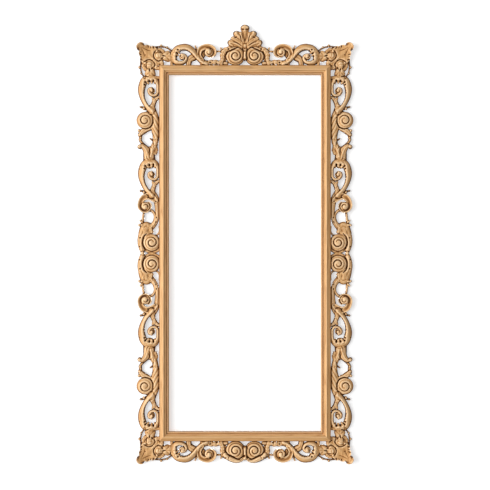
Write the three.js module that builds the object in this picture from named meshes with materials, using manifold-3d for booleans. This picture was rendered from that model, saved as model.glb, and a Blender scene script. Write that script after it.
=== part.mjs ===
// Carved openwork mirror frame: mitred moulding, carved border, buttons for the glass, hangers.
// It is drawn face up, as it lies on the bench, and is then stood upright. Millimetres.
// On the bench x runs along the top rail, y runs up the frame and z is the height above the back.

import * as THREE from "three";
import { mergeVertices } from "three/addons/utils/BufferGeometryUtils.js";
import Module from "manifold-3d";

const wasm = await Module();
wasm.setup();

// Moulding
const SIGHT_WIDTH = 608;
const SIGHT_HEIGHT = 1426;
const RAIL_WIDTH = 39;
const RAIL_DEPTH = 34;
const RAIL_EDGE = 20;
const RIDGE_FROM_EDGE = 13.5;
const RIDGE_FLAT = 2.5;
const COVE_HEIGHT = 23;
const BEAD_WIDTH = 8;
const BEAD_HEIGHT = 22.5;
const BEAD_FOOT = 18;
const SIGHT_LIP = 1;
const SIGHT_EDGE = 15;
const REBATE_WIDTH = 10;
const REBATE_DEPTH = 10;

// Joints of the moulding and the carving
const FIT_GAP = 0.3;
const SPLINE_WIDTH = 22;
const SPLINE_LENGTH = 16;
const SPLINE_THICKNESS = 3;
const SPLINE_FROM_CORNER = 30;
const SPLINE_HEIGHT = 12.5;
const DOWEL_RADIUS = 3;
const DOWEL_LENGTH = 18;
const DOWEL_HEIGHT = 7;
const DOWEL_SIDES = 6;

// Carved border: reach beyond the moulding, lengths of the fixed units, heights above the back
const CARVING_REACH = 88;
const DRAWN_REACH = 88;
const SIDE_MEDALLION_HALF = 75;
const TOP_MEDALLION_HALF = 101;
const CORNER_ALONG_SIDE = 37;
const CORNER_ALONG_TOP = 43;
const TENDRIL_HEIGHT = 13;
const LEAF_HEIGHT = 19;
const STEM_HEIGHT = 22;
const SCROLL_HEIGHT = 24;
const BASE_HEIGHT = 15;
const EYE_HEIGHT = 27;
const TIP_HEIGHT = 30;
const STEPS_PER_POINT = 1;
const DOME_RINGS = [[0, 1], [0.75, 0.75], [1, 0.4]];
const DOME_SIDES = 8;
const ROSETTE_RINGS = [[0, 1], [0.32, 0.9], [0.45, 0.55], [0.7, 0.85], [1, 0.55]];
const ROSETTE_SIDES = 12;
const CUT_ROOM = 1;

// Turn buttons and their screws
const BUTTON_SPACING = 480;
const BUTTON_FROM_EDGE = 17;
const BUTTON_REACH = 20;
const BUTTON_END_RADIUS = 5;
const BUTTON_HEEL_RADIUS = 8;
const BUTTON_THICKNESS = 2.4;
const SCREW_RADIUS = 2;
const SCREW_LENGTH = 16;
const SCREW_HEAD_RADIUS = 4;
const SCREW_HEAD_HEIGHT = 2;

// Strap hangers and their rings
const HANGER_ABOVE_MIDDLE = 330;
const HANGER_FROM_EDGE = 14;
const STRAP_WIDTH = 15;
const STRAP_LENGTH = 30;
const STRAP_THICKNESS = 1.6;
const STRAP_SCREW_DROP = 14;
const RING_WIRE_RADIUS = 1.8;
const RING_HALF_WIDTH = 13;
const RING_DROP = 25;
const KNUCKLE_WALL = 1.5;

const outerHalfWidth = SIGHT_WIDTH / 2 + RAIL_WIDTH;
const outerHalfHeight = SIGHT_HEIGHT / 2 + RAIL_WIDTH;

const wood = new THREE.MeshStandardMaterial({ color: 0xc8935a, roughness: 0.6 });
const carvedWood = new THREE.MeshStandardMaterial({ color: 0xbf8a52, roughness: 0.65 });
const joinery = new THREE.MeshStandardMaterial({ color: 0xd8b98a, roughness: 0.8 });
const brass = new THREE.MeshStandardMaterial({ color: 0xb08d4a, roughness: 0.4, metalness: 1 });
const steel = new THREE.MeshStandardMaterial({ color: 0x9a9c9e, roughness: 0.35, metalness: 1 });

// Solids

function solid(geometry) {
  geometry.deleteAttribute("normal");
  geometry.deleteAttribute("uv");
  const merged = mergeVertices(geometry);
  return new wasm.Manifold(new wasm.Mesh({
    numProp: 3,
    vertProperties: new Float32Array(merged.attributes.position.array),
    triVerts: new Uint32Array(merged.index.array),
  }));
}

function geometryOf(body) {
  const mesh = body.getMesh();
  const geometry = new THREE.BufferGeometry();
  geometry.setAttribute("position", new THREE.BufferAttribute(mesh.vertProperties, 3));
  geometry.setIndex(new THREE.BufferAttribute(mesh.triVerts, 1));
  return geometry;
}

function join(bodies) {
  return bodies.reduce((whole, body) => whole.add(body));
}

function block(low, high) {
  const size = high.map((value, axis) => value - low[axis]);
  const box = new THREE.BoxGeometry(...size);
  box.translate(...low.map((value, axis) => value + size[axis] / 2));
  return solid(box);
}

// A skin over rings of equal count, wound anticlockwise as seen from the last ring.
function loft(rings, closed = false) {
  const count = rings[0].length;
  const spans = closed ? rings.length : rings.length - 1;
  const index = [];
  for (let i = 0; i < spans; i++) {
    const here = i * count;
    const next = ((i + 1) % rings.length) * count;
    for (let j = 0; j < count; j++) {
      const k = (j + 1) % count;
      index.push(here + j, here + k, next + j, here + k, next + k, next + j);
    }
  }
  if (!closed) {
    const last = (rings.length - 1) * count;
    for (let j = 1; j < count - 1; j++) {
      index.push(0, j + 1, j, last, last + j, last + j + 1);
    }
  }
  const geometry = new THREE.BufferGeometry();
  geometry.setAttribute("position", new THREE.Float32BufferAttribute(rings.flat(2), 3));
  geometry.setIndex(index);
  return geometry;
}

function roundPeg(radius, length, sides = DOWEL_SIDES) {
  return new THREE.CylinderGeometry(radius, radius, length, sides);
}

// Carving strokes: points are [along the rail, out from it, half width]

// A ridge along a smooth line through the points. It starts below the back, where it is cut flat.
function band(points, height) {
  const spine = new THREE.CatmullRomCurve3(points.map((point) => new THREE.Vector3(...point)));
  const steps = Math.ceil((points.length - 1) * STEPS_PER_POINT);
  const rings = [];
  for (let i = 0; i <= steps; i++) {
    const at = spine.getPoint(i / steps);
    const along = spine.getTangent(i / steps).setZ(0).normalize();
    const edge = (side, z) => [at.x - along.y * side * at.z, at.y + along.x * side * at.z, z];
    rings.push([edge(1, -CUT_ROOM), edge(0, height), edge(-1, -CUT_ROOM)]);
  }
  return solid(loft(rings));
}

// A turned form from [radius, height] points that run from its top to its rim.
function turned([along, out], profile, sides) {
  const rim = profile.at(-1)[0];
  const points = [...profile, [rim, -CUT_ROOM], [0, -CUT_ROOM]].map(([r, z]) => new THREE.Vector2(r, z));
  const lathe = new THREE.LatheGeometry(points.reverse(), sides);
  lathe.rotateX(Math.PI / 2);
  lathe.translate(along, out, 0);
  return solid(lathe);
}

function scaled(rings, radius, height) {
  return rings.map(([reach, rise]) => [radius * reach, height * rise]);
}

// Domes and rosettes take one point, whose half width is their radius.
function dome([point], height) {
  return turned(point, scaled(DOME_RINGS, point[2], height), DOME_SIDES);
}

function rosette([point]) {
  return turned(point, scaled(ROSETTE_RINGS, point[2], EYE_HEIGHT), ROSETTE_SIDES);
}

// A flat openwork plate of the base height, from outlines of [along, out] points.
function plate(edge, gaps = []) {
  const flat = (points) => points.map(([u, v]) => new THREE.Vector2(u, v));
  const shape = new THREE.Shape(flat(edge));
  shape.holes = gaps.map((gap) => new THREE.Path(flat(gap)));
  const slab = new THREE.ExtrudeGeometry(shape, { depth: BASE_HEIGHT + CUT_ROOM, bevelEnabled: false });
  return solid(slab.translate(0, 0, -CUT_ROOM));
}

function shifted(points, [along, out]) {
  return points.map(([u, v, width]) => [u + along, v + out, width]);
}

function swapped(points) {
  return points.map(([u, v, width]) => [v, u, width]);
}

function flipped(points, side) {
  return points.map(([u, v, width]) => [side * u, v, width]);
}

const sideRunEnd = outerHalfHeight - CORNER_ALONG_SIDE;
const topRunEnd = outerHalfWidth - CORNER_ALONG_TOP;

// How far a stroke's band reaches along the rail.
function reachAlong(points) {
  return Math.max(...points.map(([along, , width]) => along + width));
}

// Fits drawn points to the run that starts at a place along the rail and is stretched to its length.
function fitter(start, stretch) {
  const widen = CARVING_REACH / DRAWN_REACH;
  const grow = Math.sqrt(stretch * widen);
  return (points) => points.map(([u, v, width]) => [start + u * stretch, v * widen, width * grow]);
}

const fitMiddle = fitter(0, 1);

function dowelHole(along, out = 0) {
  const hole = roundPeg(DOWEL_RADIUS + FIT_GAP, DOWEL_LENGTH + 2 * FIT_GAP);
  hole.translate(along, out, DOWEL_HEIGHT);
  return solid(hole);
}

// Joins the strokes of a run, trims it between its neighbours and against the rail, and drills it.
function carved(bodies, start, end, dowelsAlong) {
  const half = FIT_GAP / 2;
  const room = block([start + half, FIT_GAP, 0], [end - half, 3 * CARVING_REACH, 2 * RAIL_DEPTH]);
  const holes = dowelsAlong.map((along) => dowelHole(along));
  return join(bodies).intersect(room).subtract(join(holes));
}

// Side run: two alike leafy scrolls, a snail scroll between them and an open scroll towards the middle
const SIDE_SCROLL = [
  [-86, 2, 9], [-61, 22, 7], [-35, 37, 8], [-7, 44, 11.5], [19, 42, 12.5], [42, 30, 12.5],
  [51, 9, 12], [43, -12, 10.5], [21, -22, 8], [-3, -20, 7], [-20, -9, 6], [-18, 7, 5.5],
  [-3, 14, 5], [10, 8, 5], [9, -3, 5],
];
const SIDE_SCROLL_BRACT = [[-82, 0, 12], [-48, -6, 8], [-33, -16, 6.5], [-27, -30, 6]];
const SIDE_SCROLL_TENDRIL = [[-80, 10, 5], [-72, 27, 6], [-68, 40, 4.5], [-65, 51, 3]];
const OUTER_SCROLL_EYE = [577, 28, 8.5];
const INNER_SCROLL_EYE = [241, 28, 8.5];
const SNAIL = [456, 56, 31];
const OPEN_SCROLL_EYE = [111, 49, 11];
const TWISTED_STEM = [
  [512, 30, 10], [490, 23, 12], [462, 16, 15.5], [426, 14, 15], [398, 10, 11], [378, 11, 8],
  [356, 19, 8], [338, 31, 13],
];
const SNAIL_ARM = [[502, 24, 10], [488, 40, 12], [478, 62, 8]];
const HUSK_LEAF = [[425, 14, 7], [421, 46, 9], [412, 67, 11], [402, 77, 9]];
const HUSK_EDGE = [[410, 74, 8], [390, 77, 6], [374, 76, 5.5], [362, 65, 6], [350, 52, 7]];
const CURLED_LEAF = [[352, 80, 7], [353, 67, 8], [343, 55, 9], [326, 45, 13]];
const UPPER_TRUNK = [[350, 39, 13], [330, 38, 22], [314, 39, 20], [290, 38, 23]];
const LOWER_STEM = [
  [172, 29, 10], [158, 19, 10], [140, 9, 10], [118, 5, 7], [94, 4, 6.5], [70, 6, 6],
  [48, 15, 6.5], [28, 33, 10],
];
const OPEN_SCROLL = [
  [132, 12, 7], [146, 28, 9], [154, 47, 7.5], [147, 66, 7], [130, 76, 6.5], [111, 76, 6.5],
  [97, 65, 6], [95, 49, 5.5], [106, 38, 5], [120, 39, 5],
];
const ARCH = [[98, 49, 6], [95, 28, 5], [82, 16, 5], [66, 14, 5], [48, 21, 6.5], [30, 35, 9], [14, 49, 13]];
const OUTER_STRAND = [[96, 60, 5], [78, 63, 4.5], [62, 64, 5], [46, 68, 8], [30, 66, 11], [10, 61, 15]];
const STRAND_TIP = [[38, 70, 6], [38, 83, 5]];
const LOWER_TRUNK = [[28, 51, 16], [12, 53, 21], [-4, 55, 22]];

// Where the outer scroll lies against the stile
const SIDE_DOWEL_AT = [594, 0];

const outerScroll = shifted(SIDE_SCROLL, OUTER_SCROLL_EYE);
const sideStretch = (sideRunEnd - SIDE_MEDALLION_HALF) / reachAlong(outerScroll);
const fitSide = fitter(SIDE_MEDALLION_HALF, sideStretch);
const [[sideDowelAlong]] = fitSide([SIDE_DOWEL_AT]);

function sideRunGeometry() {
  const bodies = [
    band(fitSide(TWISTED_STEM), STEM_HEIGHT),
    band(fitSide(SNAIL_ARM), LEAF_HEIGHT),
    band(fitSide(HUSK_LEAF), LEAF_HEIGHT),
    band(fitSide(HUSK_EDGE), BASE_HEIGHT),
    band(fitSide(CURLED_LEAF), STEM_HEIGHT),
    band(fitSide(UPPER_TRUNK), LEAF_HEIGHT),
    band(fitSide(LOWER_STEM), LEAF_HEIGHT),
    band(fitSide(OPEN_SCROLL), SCROLL_HEIGHT),
    dome(fitSide([OPEN_SCROLL_EYE]), EYE_HEIGHT),
    band(fitSide(ARCH), BASE_HEIGHT),
    band(fitSide(OUTER_STRAND), LEAF_HEIGHT),
    band(fitSide(STRAND_TIP), LEAF_HEIGHT),
    band(fitSide(LOWER_TRUNK), LEAF_HEIGHT),
    rosette(fitSide([SNAIL])),
  ];
  for (const eye of [OUTER_SCROLL_EYE, INNER_SCROLL_EYE]) {
    bodies.push(
      band(fitSide(shifted(SIDE_SCROLL, eye)), SCROLL_HEIGHT),
      band(fitSide(shifted(SIDE_SCROLL_BRACT, eye)), LEAF_HEIGHT),
      band(fitSide(shifted(SIDE_SCROLL_TENDRIL, eye)), TENDRIL_HEIGHT),
      dome(fitSide([eye]), EYE_HEIGHT),
    );
  }
  return geometryOf(carved(bodies, SIDE_MEDALLION_HALF, sideRunEnd, [sideDowelAlong]));
}

// Side medallion: two coiled rosettes, leaf arms outside them and a bead between the arms
const SIDE_ROSETTE = [43, 29, 33];
const SIDE_ARM = [
  [100, 48, 24], [84, 52, 24], [67, 62, 17], [51, 68, 14], [33, 70, 11], [15, 68, 9], [0, 66, 7],
];
const SIDE_CRESCENT = [[24, 68, 6], [9, 48, 7], [4, 29, 8], [9, 12, 7], [20, -4, 7]];
const SIDE_BEAD = [0, 67, 8];

const [[sideRosetteAlong]] = fitMiddle([SIDE_ROSETTE]);

function sideMedallionGeometry() {
  const bodies = [dome(fitMiddle([SIDE_BEAD]), SCROLL_HEIGHT)];
  for (const side of [1, -1]) {
    bodies.push(
      rosette(flipped(fitMiddle([SIDE_ROSETTE]), side)),
      band(flipped(fitMiddle(SIDE_ARM), side), LEAF_HEIGHT),
      band(flipped(fitMiddle(SIDE_CRESCENT), side), BASE_HEIGHT),
    );
  }
  const dowels = [sideRosetteAlong, -sideRosetteAlong];
  return geometryOf(carved(bodies, -SIDE_MEDALLION_HALF, SIDE_MEDALLION_HALF, dowels));
}

// Run above or below the opening: a leafy scroll beside the corner and a ball scroll towards the middle
const TOP_SCROLL_EYE = [150, 34, 8.5];
const TOP_SCROLL = [
  [-99, -27, 8], [-79, -16, 10], [-61, 3, 10], [-44, 23, 10.5], [-23, 37, 12], [-1, 39, 12.5],
  [21, 31, 12.5], [36, 13, 12], [36, -8, 10.5], [25, -24, 10], [7, -27, 8], [-9, -20, 6],
  [-16, -6, 5.5], [-9, 7, 5.5], [2, 9, 5],
];
const TOP_SCROLL_BRACT = [[-56, 0, 11], [-38, -8, 9], [-27, -20, 7], [-29, -36, 6]];
const BALL_SCROLL_EYE = [45, 49, 10.5];
const BALL_SCROLL = [
  [71, 19, 7], [83, 43, 7], [78, 64, 7.5], [62, 76, 8], [43, 76, 8], [28, 66, 7.5], [26, 49, 7],
  [34, 40, 6.5], [47, 42, 7],
];
const BALL_SCROLL_TIP = [[85, 50, 6], [94, 67, 4], [99, 79, 2.5]];
const TWIG = [[24, 55, 4.5], [-6, 57, 3]];
const RAIL_HUSK = [[66, 6, 7], [43, 9, 9], [23, 10, 9], [-4, 12, 8]];
const TOP_DOWEL_AT = [162, 0];

const topScroll = shifted(TOP_SCROLL, TOP_SCROLL_EYE);
const topStretch = (topRunEnd - TOP_MEDALLION_HALF) / reachAlong(topScroll);
const fitTop = fitter(TOP_MEDALLION_HALF, topStretch);
const [[topDowelAlong]] = fitTop([TOP_DOWEL_AT]);

function topRunGeometry() {
  const bodies = [
    band(fitTop(topScroll), SCROLL_HEIGHT),
    band(fitTop(shifted(TOP_SCROLL_BRACT, TOP_SCROLL_EYE)), LEAF_HEIGHT),
    dome(fitTop([TOP_SCROLL_EYE]), EYE_HEIGHT),
    band(fitTop(BALL_SCROLL), SCROLL_HEIGHT),
    dome(fitTop([BALL_SCROLL_EYE]), EYE_HEIGHT),
    band(fitTop(BALL_SCROLL_TIP), TENDRIL_HEIGHT),
    band(fitTop(TWIG), TENDRIL_HEIGHT),
    band(fitTop(RAIL_HUSK), BASE_HEIGHT),
  ];
  return geometryOf(carved(bodies, TOP_MEDALLION_HALF, topRunEnd, [topDowelAlong]));
}

// Medallion above or below the opening: two coiled rosettes on a low web, with a leaf outside each
const TOP_ROSETTE = [38, 38, 38];
const FLANK_LEAF = [[63, 68, 9], [80, 60, 11], [90, 43, 11], [90, 27, 9], [94, 12, 7], [96, -3, 6]];
const FLANK_LOBE = [[82, 54, 9], [73, 42, 9], [80, 24, 8]];
const FLANK_FOOT = [[86, 14, 8], [118, 12, 8]];
const FLANK_TIP = [[90, 58, 6], [97, 70, 3]];
const BROW_LEAF = [[70, 64, 8], [56, 76, 8.5], [36, 79, 7.5], [18, 73, 6], [0, 62, 5]];
const BROW_BEAD = [0, 70, 8];
const WEB_HALF = 22;
const WEB_LOW = 24;
const WEB_HIGH = 62;

const [[topRosetteAlong]] = fitMiddle([TOP_ROSETTE]);
const [[, webLow], [, crestSeat]] = fitMiddle([[0, WEB_LOW], [0, WEB_HIGH]]);

function topMedallionBody(extras) {
  const bodies = [block([-WEB_HALF, webLow, -CUT_ROOM], [WEB_HALF, crestSeat, BASE_HEIGHT]), ...extras];
  for (const side of [1, -1]) {
    bodies.push(
      rosette(flipped(fitMiddle([TOP_ROSETTE]), side)),
      band(flipped(fitMiddle(FLANK_LEAF), side), LEAF_HEIGHT),
      band(flipped(fitMiddle(FLANK_LOBE), side), BASE_HEIGHT),
      band(flipped(fitMiddle(FLANK_FOOT), side), BASE_HEIGHT),
      band(flipped(fitMiddle(FLANK_TIP), side), TENDRIL_HEIGHT),
    );
  }
  return carved(bodies, -TOP_MEDALLION_HALF, TOP_MEDALLION_HALF, [topRosetteAlong, -topRosetteAlong]);
}

function topMedallionGeometry() {
  return geometryOf(topMedallionBody([]).subtract(dowelHole(0, crestSeat)));
}

function bottomMedallionGeometry() {
  return geometryOf(topMedallionBody([
    band(fitMiddle(BROW_LEAF), STEM_HEIGHT),
    band(flipped(fitMiddle(BROW_LEAF), -1), STEM_HEIGHT),
    dome(fitMiddle([BROW_BEAD]), SCROLL_HEIGHT),
  ]));
}

// Crest: a palmette of ridged lobes that springs from between the top rosettes
const CREST_EDGE = [
  [10, 161], [15.6, 151], [16, 145], [22, 137], [38, 136], [46.5, 129], [48, 117], [52, 106],
  [64, 101], [68, 88], [60, 79], [30, 70], [0, 54],
];
const CREST_MIDDLE = [[0, 58, 9], [0, 84, 10], [0, 116, 11], [0, 142, 15], [0, 158, 11]];
const CREST_LOBES = [
  [[3, 72, 5], [14, 97, 9], [27, 117, 12], [37, 127, 9]],
  [[4, 72, 5], [24, 89, 9], [42, 96, 10], [56, 94, 8]],
];

function crestGeometry() {
  const edge = [...CREST_EDGE, ...flipped(CREST_EDGE.slice(0, -1), -1).reverse()];
  const lobes = [plate(fitMiddle(edge)), band(fitMiddle(CREST_MIDDLE), SCROLL_HEIGHT)];
  for (const lobe of CREST_LOBES) {
    for (const side of [1, -1]) {
      lobes.push(band(flipped(fitMiddle(lobe), side), STEM_HEIGHT));
    }
  }
  const high = 3 * RAIL_DEPTH;
  const far = 3 * CARVING_REACH;
  const clear = TOP_ROSETTE[2] + FIT_GAP;
  const roseWell = ([at]) => turned(at, [[0, high], [clear, high]], ROSETTE_SIDES);
  const seat = [
    block([-far, -far, -2 * CUT_ROOM], [far, far, 0]),
    block([-WEB_HALF - FIT_GAP, 0, -CUT_ROOM], [WEB_HALF + FIT_GAP, crestSeat + FIT_GAP, high]),
    dowelHole(0, crestSeat),
    roseWell(fitMiddle([TOP_ROSETTE])),
    roseWell(flipped(fitMiddle([TOP_ROSETTE]), -1)),
  ];
  return geometryOf(join(lobes).subtract(join(seat)));
}

// Corner: a leafy shield with a midrib, a curl and a tendril on each side, alike across the mitre.
// Its points are [out sideways, out upwards] from the moulding's corner, with a half width for the midrib.
const CORNER_EDGE = [
  [84, 84], [77, 91], [67, 90], [59, 82], [50, 86], [40, 84], [33, 78], [24, 82], [15, 80], [-6, 84],
  [-28, 81], [-48, 70], [-48, 18], [-30, 15], [-14, 13], [-10, -4],
];
const CORNER_GAP = [[6, 66], [-9, 71], [-24, 69], [-31, 62], [-24, 57], [-11, 59]];
const CORNER_MIDRIB = [[18, 18, 8], [34, 34, 11], [50, 50, 15], [64, 64, 16], [78, 78, 11]];
const CORNER_BEAD = [26, 26, 8];
const CORNER_CURL = [2, 41, 17];

function cornerGeometry() {
  const grow = CARVING_REACH / DRAWN_REACH;
  const fit = (points) => points.map(([u, v, width]) => [u * grow, v * grow, width]);
  const edge = [...CORNER_EDGE, ...swapped(CORNER_EDGE.slice(1)).reverse()];
  const bodies = [
    plate(fit(edge), [fit(CORNER_GAP), fit(swapped(CORNER_GAP))]),
    band(fit(CORNER_MIDRIB), TIP_HEIGHT),
    dome(fit([CORNER_BEAD]), EYE_HEIGHT),
    dome(fit([CORNER_CURL]), SCROLL_HEIGHT),
    dome(fit(swapped([CORNER_CURL])), SCROLL_HEIGHT),
  ];
  const far = 3 * CARVING_REACH;
  const half = FIT_GAP / 2;
  const room = block([half - CORNER_ALONG_TOP, half - CORNER_ALONG_SIDE, 0], [far, far, 2 * RAIL_DEPTH]);
  const moulding = block([-far, -far, -CUT_ROOM], [FIT_GAP, FIT_GAP, 3 * RAIL_DEPTH]);
  return geometryOf(join(bodies).intersect(room).subtract(moulding));
}

// Moulding

function railProfile() {
  const bead = RAIL_WIDTH - SIGHT_LIP - BEAD_WIDTH;
  const ridgeEnd = RIDGE_FROM_EDGE + RIDGE_FLAT;
  const profile = new THREE.Shape();
  profile.moveTo(0, 0);
  profile.lineTo(0, RAIL_EDGE);
  profile.quadraticCurveTo(RIDGE_FROM_EDGE / 6, RAIL_DEPTH, RIDGE_FROM_EDGE, RAIL_DEPTH);
  profile.lineTo(ridgeEnd, RAIL_DEPTH);
  profile.quadraticCurveTo(ridgeEnd, COVE_HEIGHT, bead, COVE_HEIGHT);
  profile.lineTo(bead, BEAD_FOOT);
  profile.quadraticCurveTo(bead + BEAD_WIDTH / 2, 2 * BEAD_HEIGHT - BEAD_FOOT, bead + BEAD_WIDTH, BEAD_FOOT);
  profile.lineTo(RAIL_WIDTH, SIGHT_EDGE);
  profile.lineTo(RAIL_WIDTH, REBATE_DEPTH);
  profile.lineTo(RAIL_WIDTH - REBATE_WIDTH, REBATE_DEPTH);
  profile.lineTo(RAIL_WIDTH - REBATE_WIDTH, 0);
  return profile;
}

// A rail along x with its outer edge at y = 0, mitred at both ends, slotted and drilled.
function railGeometry(length, dowelsAlong, screwsAt) {
  const rail = new THREE.ExtrudeGeometry(railProfile(), { depth: 1, bevelEnabled: false, curveSegments: 4 });
  const position = rail.attributes.position;
  for (let i = 0; i < position.count; i++) {
    const across = position.getX(i);
    const half = length / 2 - across - FIT_GAP / 2;
    position.setXYZ(i, position.getZ(i) === 0 ? half : -half, -across, position.getY(i));
  }
  let body = solid(rail);
  for (const end of [-1, 1]) {
    const slot = splineGeometry(end, FIT_GAP);
    const corner = length / 2 - SPLINE_FROM_CORNER / Math.SQRT2;
    slot.translate(end * corner, -SPLINE_FROM_CORNER / Math.SQRT2, SPLINE_HEIGHT);
    body = body.subtract(solid(slot));
  }
  for (const along of dowelsAlong) {
    body = body.subtract(dowelHole(along));
  }
  for (const [along, across] of screwsAt) {
    const hole = roundPeg(SCREW_RADIUS + FIT_GAP, 2 * SCREW_LENGTH);
    hole.rotateX(Math.PI / 2);
    hole.translate(along, -across, 0);
    body = body.subtract(solid(hole));
  }
  return geometryOf(body);
}

// A spline across the mitre at the right or left end of the top rail, grown on all sides for its slot.
function splineGeometry(end, grow = 0) {
  const size = [SPLINE_WIDTH, SPLINE_LENGTH, SPLINE_THICKNESS].map((length) => length + 2 * grow);
  return new THREE.BoxGeometry(...size).rotateZ(end * Math.PI / 4);
}

// Hardware on the back, seated against z = 0

function buttonGeometry() {
  const tip = BUTTON_REACH - BUTTON_END_RADIUS;
  const lean = Math.acos((BUTTON_HEEL_RADIUS - BUTTON_END_RADIUS) / tip);
  const outline = new THREE.Shape();
  outline.absarc(0, 0, BUTTON_HEEL_RADIUS, lean, 2 * Math.PI - lean, false);
  outline.absarc(tip, 0, BUTTON_END_RADIUS, -lean, lean, false);
  outline.holes.push(new THREE.Path().absarc(0, 0, SCREW_RADIUS + FIT_GAP, 0, 2 * Math.PI, true));
  const options = { depth: BUTTON_THICKNESS, bevelEnabled: false, curveSegments: 4 };
  const button = new THREE.ExtrudeGeometry(outline, options);
  return button.translate(0, 0, -FIT_GAP - BUTTON_THICKNESS);
}

// A pan-head screw driven from behind, its head clear of what it holds by the fit gap.
function screwGeometry(held) {
  const seat = -held - 2 * FIT_GAP;
  const point = SCREW_LENGTH - FIT_GAP;
  const crown = seat - SCREW_HEAD_HEIGHT;
  const profile = [
    [0, crown], [SCREW_HEAD_RADIUS * 0.7, crown], [SCREW_HEAD_RADIUS, crown + SCREW_HEAD_HEIGHT * 0.5],
    [SCREW_HEAD_RADIUS, seat], [SCREW_RADIUS, seat], [SCREW_RADIUS, point - 2 * SCREW_RADIUS], [0, point],
  ];
  const screw = new THREE.LatheGeometry(profile.map(([r, z]) => new THREE.Vector2(r, z)), 8);
  return screw.rotateX(Math.PI / 2);
}

const knuckleBore = RING_WIRE_RADIUS + FIT_GAP;
const knuckleRadius = knuckleBore + KNUCKLE_WALL;
const ringDepth = -FIT_GAP - knuckleRadius;

// A strap that hangs down the stile from its rolled knuckle, with the knuckle's axis along the rail's width.
function strapGeometry() {
  const plate = new THREE.Shape();
  const half = STRAP_WIDTH / 2;
  plate.absarc(half - STRAP_LENGTH, 0, half, 0.5 * Math.PI, 1.5 * Math.PI, false);
  plate.lineTo(0, -half);
  plate.lineTo(0, half);
  const screwHole = new THREE.Path();
  screwHole.absarc(-STRAP_SCREW_DROP, 0, SCREW_RADIUS + FIT_GAP, 0, 2 * Math.PI, true);
  plate.holes.push(screwHole);
  const options = { depth: STRAP_THICKNESS, bevelEnabled: false, curveSegments: 4 };
  const strap = new THREE.ExtrudeGeometry(plate, options);
  strap.translate(0, 0, -FIT_GAP - STRAP_THICKNESS);
  const knuckle = roundPeg(knuckleRadius, STRAP_WIDTH, 10).translate(0, 0, ringDepth);
  const bore = roundPeg(knuckleBore, 2 * STRAP_WIDTH, 8).translate(0, 0, ringDepth);
  return geometryOf(solid(strap).add(solid(knuckle)).subtract(solid(bore)));
}

// A D-shaped ring of round wire, hanging from the straight side that lies in the knuckle.
function ringGeometry() {
  const corner = RING_HALF_WIDTH * 0.3;
  const path = new THREE.Path();
  path.moveTo(0, corner - RING_HALF_WIDTH);
  path.lineTo(0, RING_HALF_WIDTH - corner);
  path.quadraticCurveTo(0, RING_HALF_WIDTH, -corner, RING_HALF_WIDTH);
  path.lineTo(RING_HALF_WIDTH - RING_DROP, RING_HALF_WIDTH);
  path.absarc(RING_HALF_WIDTH - RING_DROP, 0, RING_HALF_WIDTH, 0.5 * Math.PI, 1.5 * Math.PI, false);
  path.lineTo(-corner, -RING_HALF_WIDTH);
  path.quadraticCurveTo(0, -RING_HALF_WIDTH, 0, corner - RING_HALF_WIDTH);
  const points = path.getPoints(4).filter((point, i, all) => i === 0 || point.distanceTo(all[i - 1]) > 0.1);
  points.pop();
  const sides = 6;
  const rings = points.map((point, i) => {
    const before = points.at(i - 1);
    const after = points[(i + 1) % points.length];
    const along = after.clone().sub(before).normalize();
    return Array.from({ length: sides }, (_, j) => {
      const angle = 2 * Math.PI * j / sides;
      const side = RING_WIRE_RADIUS * Math.cos(angle);
      return [point.x - along.y * side, point.y + along.x * side, RING_WIRE_RADIUS * Math.sin(angle)];
    });
  });
  return loft(rings, true);
}

// Assembly

function piece(parent, name, geometry, material, place = [0, 0, 0]) {
  const mesh = new THREE.Mesh(geometry, material);
  mesh.name = name;
  mesh.position.set(...place);
  parent.add(mesh);
  return mesh;
}

function group(parent) {
  const inner = new THREE.Group();
  parent.add(inner);
  return inner;
}

const dowel = roundPeg(DOWEL_RADIUS, DOWEL_LENGTH);
const spline = splineGeometry(1);
const corner = cornerGeometry();
const sideRun = sideRunGeometry();
const sideMedallion = sideMedallionGeometry();
const topRun = topRunGeometry();
const button = buttonGeometry();
const buttonScrew = screwGeometry(BUTTON_THICKNESS);
const strap = strapGeometry();
const ring = ringGeometry();
const strapScrew = screwGeometry(STRAP_THICKNESS);

const hangerScrewAlong = HANGER_ABOVE_MIDDLE - STRAP_SCREW_DROP;
const buttonPlaces = { upper: BUTTON_SPACING, middle: 0, lower: -BUTTON_SPACING };
const levels = { upper: 1, lower: -1 };
const halves = { right: 1, left: -1 };
const sideDowels = [sideDowelAlong, -sideDowelAlong, sideRosetteAlong, -sideRosetteAlong];
const topDowels = [topDowelAlong, -topDowelAlong, topRosetteAlong, -topRosetteAlong];
const stileScrews = [
  ...Object.values(buttonPlaces).map((along) => [along, BUTTON_FROM_EDGE]),
  [hangerScrewAlong, HANGER_FROM_EDGE],
];
const stileLength = 2 * outerHalfHeight;
const railLength = 2 * outerHalfWidth;
const stileShape = railGeometry(stileLength, sideDowels, stileScrews);
const railShape = railGeometry(railLength, topDowels, []);

const frame = new THREE.Group();
const bench = group(frame);
bench.rotation.x = Math.PI / 2;
bench.position.z = RAIL_WIDTH / 2 - outerHalfHeight;

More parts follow.
